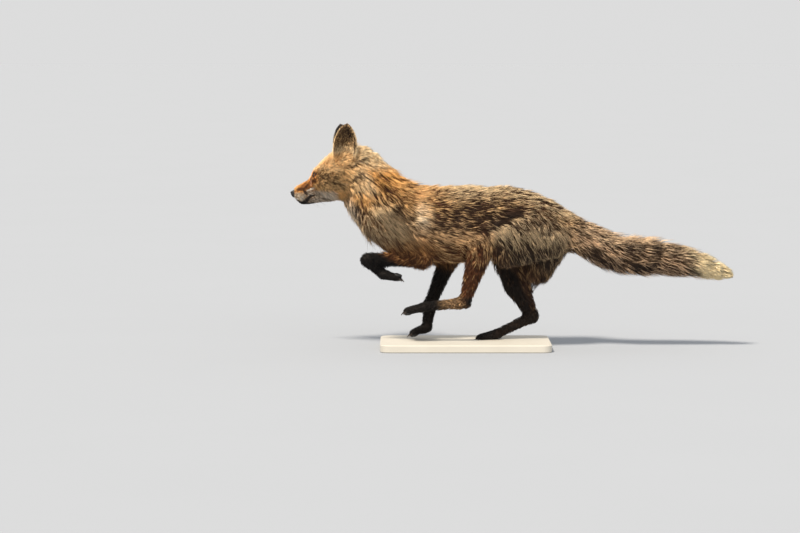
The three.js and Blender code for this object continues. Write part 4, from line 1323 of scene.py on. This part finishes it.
FLESH_NODES = ["head", "jaw_lower", "ear_left", "ear_right", "neck", "chest", "loin", "rump", "tail",
               "tail_tip"]
FLESH_NODES += [f"{part}_{side}" for part, side in product(
    ("upper_arm", "forearm", "forepaw", "thigh", "shank", "hindpaw"), ("left", "right"))]


def add_skin(points, quads, grown, normals):
    mesh = quad_mesh("fox_skin", points, quads)
    root, mid, _, _ = markings(points, grown["share"], grown["down"], normals)
    bare = grown["bald"][:, None]
    dye(mesh, (root * 0.5 + mid * 0.5) * (1 - bare) + mid * bare)
    piece = add_piece("fox_skin", mesh, skin_material())
    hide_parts(*FLESH_NODES)


def baldness(points, share):
    """1 where no tufts grow: between the lids, along the mouth and under the nose."""
    local = placed(points, UNTURN_HEAD)
    mouth = fade(path_distance(local, MOUTH), 2.3, 1.4) * share["head"]
    bald = np.maximum(mouth, fade(NOSE_FORM.reach(local, False), 1.6, 0.6))
    for side in (-1, 1):
        almond, depth, _ = eye_opening(local, side)
        bald = np.maximum(bald, fade(almond, 1.6, 0.7) * (depth > 0))
    return bald


def add_coat(points, quads):
    """The skin, and over it every piece of the coat."""
    normals = np.zeros_like(points)
    faces = face_normals(points, quads)
    for corner in range(4):
        for axis in range(3):
            normals[:, axis] += np.bincount(quads[:, corner], faces[:, axis], len(points))
    normals = unit(normals)
    share, depth, lie, down = ownership(points)
    owner = np.argmax([share[part] for part in PARTS], axis=0)
    grown = {"share": share, "depth": depth, "lie": lie, "owner": owner, "down": down,
             "bald": baldness(points, share)}
    add_skin(points, quads, grown, normals)
    for number, (name, style) in enumerate(COATS.items()):
        coat(name, style, points, quads, normals, grown, np.random.default_rng(100 + number))


def add_eyes():
    material = eye_material()
    for side, name in ((-1, "eye_left"), (1, "eye_right")):
        centre, ahead, _, _ = eye_axes(side)
        upright = unit(np.array([0, 0, 1.0]) - ahead * ahead[2])
        axes = np.array([ahead, np.cross(upright, ahead), upright])
        verts, faces, places = ball(centre, axes, EYE["radius"], 28, 48, EYE["cornea"])
        scale = np.where(places[:, :1] > 0, 1 / IRIS_SHARE, 3)
        iris = np.append(places[:, 1:] * scale, np.zeros_like(scale), axis=1)
        piece = add_solids(name + "_glass", [(placed(verts, TURN_HEAD), faces)], material, iris=iris)
        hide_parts(name)
        add_lid_rim(name, side)


def add_solids(name, parts, material, lowest=None, iris=None):
    """A piece of several solids, each (points, faces), none of it under lowest. Points that lie together
    are merged, as at a ball's poles, and faces are turned out. iris marks the points of an eye."""
    verts, faces = [], []
    for points, sides in parts:
        faces += [tuple(i + len(verts) for i in face) for face in sides]
        verts += list(points)
    verts = np.array(verts)
    if lowest is not None:
        verts[:, 2] = np.maximum(verts[:, 2], lowest)
    mesh = bpy.data.meshes.new(name)
    mesh.from_pydata(metres(verts).tolist(), [], faces)
    if iris is not None:
        marks = mesh.attributes.new("iris", "FLOAT_VECTOR", "POINT")
        marks.data.foreach_set("vector", iris.astype(np.float32).ravel())
    shape = bmesh.new()
    shape.from_mesh(mesh)
    bmesh.ops.remove_doubles(shape, verts=shape.verts, dist=1e-6)
    bmesh.ops.recalc_face_normals(shape, faces=shape.faces)
    shape.to_mesh(mesh)
    shape.free()
    mesh.polygons.foreach_set("use_smooth", np.ones(len(mesh.polygons), bool))
    return add_piece(name, mesh, material)


def tube(path, radii, sides=6, closed=False):
    """A round tube along points, its ends capped flat unless it closes on itself."""
    path = np.asarray(path, float)
    verts, quads = [], []
    n = len(path)
    for i, (p, r) in enumerate(zip(path, radii)):
        after = path[(i + 1) % n] if closed else path[min(i + 1, n - 1)]
        before = path[i - 1] if closed or i else path[0]
        ahead = unit(after - before)
        across = unit(np.cross(ahead, (0.13, 0.2, 1.0)))
        up = np.cross(across, ahead)
        for s in range(sides):
            a = 2 * math.pi * s / sides
            verts.append(p + (across * math.cos(a) + up * math.sin(a)) * r)
    for i in range(n if closed else n - 1):
        j = (i + 1) % n
        for s in range(sides):
            t = (s + 1) % sides
            quads.append((i * sides + s, i * sides + t, j * sides + t, j * sides + s))
    if not closed:
        quads.append(tuple(range(sides))[::-1])
        quads.append(tuple((n - 1) * sides + s for s in range(sides)))
    return verts, quads


def add_lid_rim(name, side):
    """The bare black edge of the lids, all round the opening."""
    centre, ahead, outer, up = eye_axes(side)
    a = math.tau * np.arange(40) / 40
    u = EYE["half_wide"] * np.cos(a)
    v = EYE["half_high"] * np.sin(a) * np.abs(np.sin(a)) - EYE["slant"] * u
    w = np.sqrt(np.maximum(0.5, (EYE["radius"] + 0.5) ** 2 - u * u - v * v))
    path = centre + np.outer(u, outer) + np.outer(v, up) + np.outer(w, ahead)
    rim = tube(placed(path, TURN_HEAD), [LIDS["edge"]] * len(path), 8, closed=True)
    add_solids(name + "_lid_edge", [rim], LEATHER)


def add_nose():
    """The nose pad: two wings with comma nostrils and a split between them."""
    x, y, z = NOSE["at"]
    lines = [np.arange(c - 12.5, c + 12.5, 0.5) for c in NOSE["at"]]
    points = np.stack(np.meshgrid(*lines, indexing="ij"), -1)

    def groove(start, end, radii):
        return Bar("head", start, end, radii, (0, 0)).reach(points, False)

    pad = NOSE_FORM.reach(points, False)
    for (at_x, at_z), (out_x, out_z) in NOSE["faces"]:
        face = (points[..., 0] - at_x) * out_x + (points[..., 2] - at_z) * out_z
        pad = -soft_min(-pad, -face, 2.5)
    for side in (-1, 1):
        hole = groove((x - 9, y + side * 3.4, z + 0.5), (x - 1, y + side * 6.8, z + 1), (2.1, 1.6))
        slit = groove((x - 7, y + side * 5.8, z - 0.5), (x + 0.5, y + side * 9.4, z - 3.5), (1.0, 0.8))
        pad = -soft_min(-pad, soft_min(hole, slit, 1.2), 1.0)
    split = groove((x - 9.2, y, z + 1), (x - 6.2, y, z - 8), (0.6, 0.8))
    pad = -soft_min(-pad, split, 0.8)
    verts, quads = zero_surface(pad, lines)
    verts = smoothed(verts, quads, 2, np.full(len(verts), 0.4))
    piece = add_piece("nose_pad", quad_mesh("nose_pad", placed(verts, TURN_HEAD), quads), LEATHER)
    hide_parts("nose")


def add_claws():
    """A tapered claw from the end of each toe."""
    horn = horn_material("dark_horn", "#2b211a", 0.35)
    t = np.arange(8) / 7
    radii = CLAW["radius"] * (1 - t) ** 0.7 + CLAW["point"]
    for name in LEGS:
        _, joints = leg_joints(name)
        claws = []
        for _, end, ahead in toes(*joints[3:]):
            far = TOE["tip"] - CLAW["sunk"] + CLAW["length"] * t
            path = end + np.outer(far, unit(ahead + (0, 0, -0.35)))
            path[:, 2] += CLAW["rise"] - CLAW["droop"] * t * t
            claws.append(tube(path, radii, 8))
        add_solids("claws_" + name, claws, horn, BOARD_TOP + 0.2)


def ball(centre, axes, radii, rings=10, turns=14, cornea=0.0):
    """A closed egg of quads, its axes as rows, its poles on the first, and swollen there by cornea. Also
    gives the place of each point on a plain ball."""
    a = (math.pi * np.arange(rings + 1) / rings)[:, None]
    b = math.tau * np.arange(turns) / turns
    places = np.stack([np.cos(a) + 0 * b, np.sin(a) * np.cos(b), np.sin(a) * np.sin(b)], -1)
    swell = 1 + cornea * np.cos(1.6 * a) * (a < 0.95)
    verts = centre + ((places * swell[..., None] * radii) @ axes).reshape(-1, 3)
    quads = []
    for r, s in product(range(rings), range(turns)):
        after = (s + 1) % turns
        quads.append((r * turns + s, (r + 1) * turns + s, (r + 1) * turns + after, r * turns + after))
    return verts, quads, places.reshape(-1, 3)


def add_pads():
    """The bare soles: one pad under each toe and a broad one behind them."""
    for name in LEGS:
        _, (*_, knuckle, tip) = leg_joints(name)
        middle = unit(tip - knuckle)
        places = [(end, ahead, TOE_PAD) for _, end, ahead in toes(knuckle, tip)]
        places.append((knuckle + middle * BROAD_PAD["ahead"], middle, BROAD_PAD))
        pads = []
        for at, ahead, pad in places:
            sole = unit(np.array([-ahead[2], 0, ahead[0]]))
            axes = np.array([ahead, np.cross(ahead, sole), sole])
            pads.append(ball(at + sole * pad["under"], axes, pad["radii"])[:2])
        add_solids("pads_" + name, pads, LEATHER, BOARD_TOP + 0.25)


# Whiskers of one side: rows on the upper lip, each (x, y, z) of its first root, then how many.
WHISKER_ROWS = [((-502, 13.5, 342), 4), ((-503, 14.5, 337.5), 5), ((-502, 14, 333), 5),
                ((-499, 12.5, 328.5), 4)]
BROW_WHISKERS = [(-457, 17, 397), (-453, 19, 396)]


def whisker_roots():
    """Root, direction and length in mm of every whisker, with the head turned."""
    rng = np.random.default_rng(7)
    found = []
    for side in (-1, 1):
        for (x, y, z), count in WHISKER_ROWS:
            for i in range(count):
                aim = unit(np.array([0.55 + 0.13 * i, side * (0.85 - 0.05 * i), -0.22 + (z - 335) * 0.03]))
                at = (x + 4.5 * i, side * (y + 1.1 * i), z + 0.6 * i)
                found.append((at, aim, rng.uniform(34, 42) + 6 * i))
        for x, y, z in BROW_WHISKERS:
            aim = unit(np.array([0.35, side * 0.5, 0.8]))
            found.append(((x, side * y, z), aim, rng.uniform(24, 30)))
    roots, aims, lengths = zip(*found)
    aims = np.array(aims) + rng.normal(0, 0.07, (len(aims), 3))
    return placed(roots, TURN_HEAD), unit(aims @ TURN_HEAD[:3, :3].T), np.array(lengths)


def bristle_tree():
    """Stands one tapered, drooping bristle on every point, along its aim and as long as its reach."""
    tree = bpy.data.node_groups.new("bristles", "GeometryNodeTree")
    add = partial(add_node, tree)
    for name, way, kind in [
        ("Geometry", "INPUT", "NodeSocketGeometry"),
        ("Root radius over length", "INPUT", "NodeSocketFloat"),
        ("Droop over length", "INPUT", "NodeSocketFloat"),
        ("Material", "INPUT", "NodeSocketMaterial"),
        ("Geometry", "OUTPUT", "NodeSocketGeometry"),
    ]:
        tree.interface.new_socket(name, in_out=way, socket_type=kind)
    given = add("NodeGroupInput")
    end = add("ShaderNodeCombineXYZ", {"Z": 1.0}, {"X": (given, "Droop over length")})
    arc = add("GeometryNodeCurveQuadraticBezier",
              {"Resolution": 9, "Start": (0, 0, 0), "Middle": (0, 0, 0.6)}, {"End": (end, "Vector")})
    along = add("GeometryNodeSplineParameter")
    thin = add("ShaderNodeMapRange", {"To Max": 0.0001},
               {"Value": (along, "Factor"), "To Min": (given, "Root radius over length")})
    tapered = add("GeometryNodeSetCurveRadius", {}, {"Curve": (arc, "Curve"), "Radius": (thin, "Result")})
    ring = add("GeometryNodeCurvePrimitiveCircle", {"Resolution": 6, "Radius": 1.0})
    solid = add("GeometryNodeCurveToMesh", {"Fill Caps": True},
                {"Curve": (tapered, "Curve"), "Profile Curve": (ring, "Curve")})
    if "Scale" in solid.inputs:
        tree.links.new(thin.outputs["Result"], solid.inputs["Scale"])
    aim = add("GeometryNodeInputNamedAttribute", {"data_type": "FLOAT_VECTOR", "Name": "aim"})
    reach = add("GeometryNodeInputNamedAttribute", {"data_type": "FLOAT", "Name": "reach"})
    turned = add("FunctionNodeAlignRotationToVector", {"axis": "Z"}, {"Vector": (aim, "Attribute")})
    roots = add("GeometryNodeMeshToPoints", {}, {"Mesh": (given, "Geometry")})
    stood = add("GeometryNodeInstanceOnPoints", {},
                {"Points": (roots, "Points"), "Instance": (solid, "Mesh"),
                 "Rotation": (turned, "Rotation"), "Scale": (reach, "Attribute")})
    plain = add("GeometryNodeRealizeInstances", {}, {"Geometry": (stood, "Instances")})
    smooth = add("GeometryNodeSetShadeSmooth", {}, {"Geometry": (plain, "Geometry")})
    made = add("GeometryNodeSetMaterial", {},
               {"Geometry": (smooth, "Geometry"), "Material": (given, "Material")})
    add("NodeGroupOutput", {}, {"Geometry": (made, "Geometry")})
    return tree


def add_whiskers():
    """Whiskers and brow hairs as one piece of bristles."""
    roots, aims, lengths = whisker_roots()
    mesh = bpy.data.meshes.new("whisker_roots")
    mesh.from_pydata(metres(roots).tolist(), [], [])
    aim = mesh.attributes.new("aim", "FLOAT_VECTOR", "POINT")
    aim.data.foreach_set("vector", aims.astype(np.float32).ravel())
    reach = mesh.attributes.new("reach", "FLOAT", "POINT")
    reach.data.foreach_set("value", (lengths * 0.001).astype(np.float32))
    base = bpy.data.objects.new("whisker_roots", mesh)
    bpy.context.scene.collection.objects.link(base)
    tree = bristle_tree()
    bristle = horn_material("black_whisker_bristle", "#1d1815", 0.4)
    values = {"Root radius over length": 0.005, "Droop over length": 0.12, "Material": bristle}
    modifier = base.modifiers.new("bristles", "NODES")
    modifier.node_group = tree
    for item in tree.interface.items_tree:
        if item.in_out == "INPUT" and item.name in values:
            modifier[item.identifier] = values[item.name]
    bpy.context.view_layer.update()
    graph = bpy.context.evaluated_depsgraph_get()
    plain = bpy.data.meshes.new_from_object(base.evaluated_get(graph), depsgraph=graph)
    bpy.data.objects.remove(base)
    plain.name = "whiskers"
    plain.materials.clear()
    add_piece("whiskers", plain, bristle)


# Where the camera looks, its height in degrees, how far off it is in metres and how wide it sees there.
CAMERA = {"target": (-0.2633, -0.006, 0.193), "rise": 4.5, "away": 7.0, "across": 1.88}


def add_camera_and_light():
    scene = bpy.context.scene
    camera = bpy.data.objects.new("camera", bpy.data.cameras.new("camera"))
    scene.collection.objects.link(camera)
    scene.camera = camera
    target = Vector(CAMERA["target"])
    rise = math.radians(CAMERA["rise"])
    camera.data.sensor_width = 36
    camera.data.lens = camera.data.sensor_width * CAMERA["away"] / CAMERA["across"]
    camera.location = target + Vector((0, -math.cos(rise), math.sin(rise))) * CAMERA["away"]
    camera.rotation_euler = (target - camera.location).to_track_quat("-Z", "Y").to_euler()
    camera.data.clip_end = 200
    world = bpy.data.worlds.new("studio")
    scene.world = world
    world.use_nodes = True
    background = world.node_tree.nodes["Background"]
    background.inputs["Color"].default_value = (1, 1, 1, 1)
    background.inputs["Strength"].default_value = SURROUND
    for name, (towards, strength, spread, code) in LAMPS.items():
        light = bpy.data.lights.new(name, "SUN")
        light.energy, light.angle, light.color = strength, math.radians(spread), linear(code)
        lamp = bpy.data.objects.new(name, light)
        lamp.rotation_euler = Vector(towards).to_track_quat("Z", "Y").to_euler()
        scene.collection.objects.link(lamp)
    scene.view_settings.view_transform = "Standard"


def add_floor():
    mesh = bpy.data.meshes.new("floor")
    half = 60.0
    corners = [(-half, -half, 0), (half, -half, 0), (half, half, 0), (-half, half, 0)]
    mesh.from_pydata(corners, [], [(0, 1, 2, 3)])
    mesh.materials.append(floor_material())
    floor = bpy.data.objects.new("floor", mesh)
    bpy.context.scene.collection.objects.link(floor)


# ---- Assembly ---------------------------------------------------------------------------------

add_camera_and_light()
add_floor()
FUR_MATERIAL = fur_material()
LEATHER = nose_material()
skin_points, skin_quads = skin_surface()
add_coat(skin_points, skin_quads)
add_eyes()
add_nose()
add_claws()
add_pads()
add_whiskers()
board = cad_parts["stand_base"]
board.data.materials.clear()
board.data.materials.append(board_material())
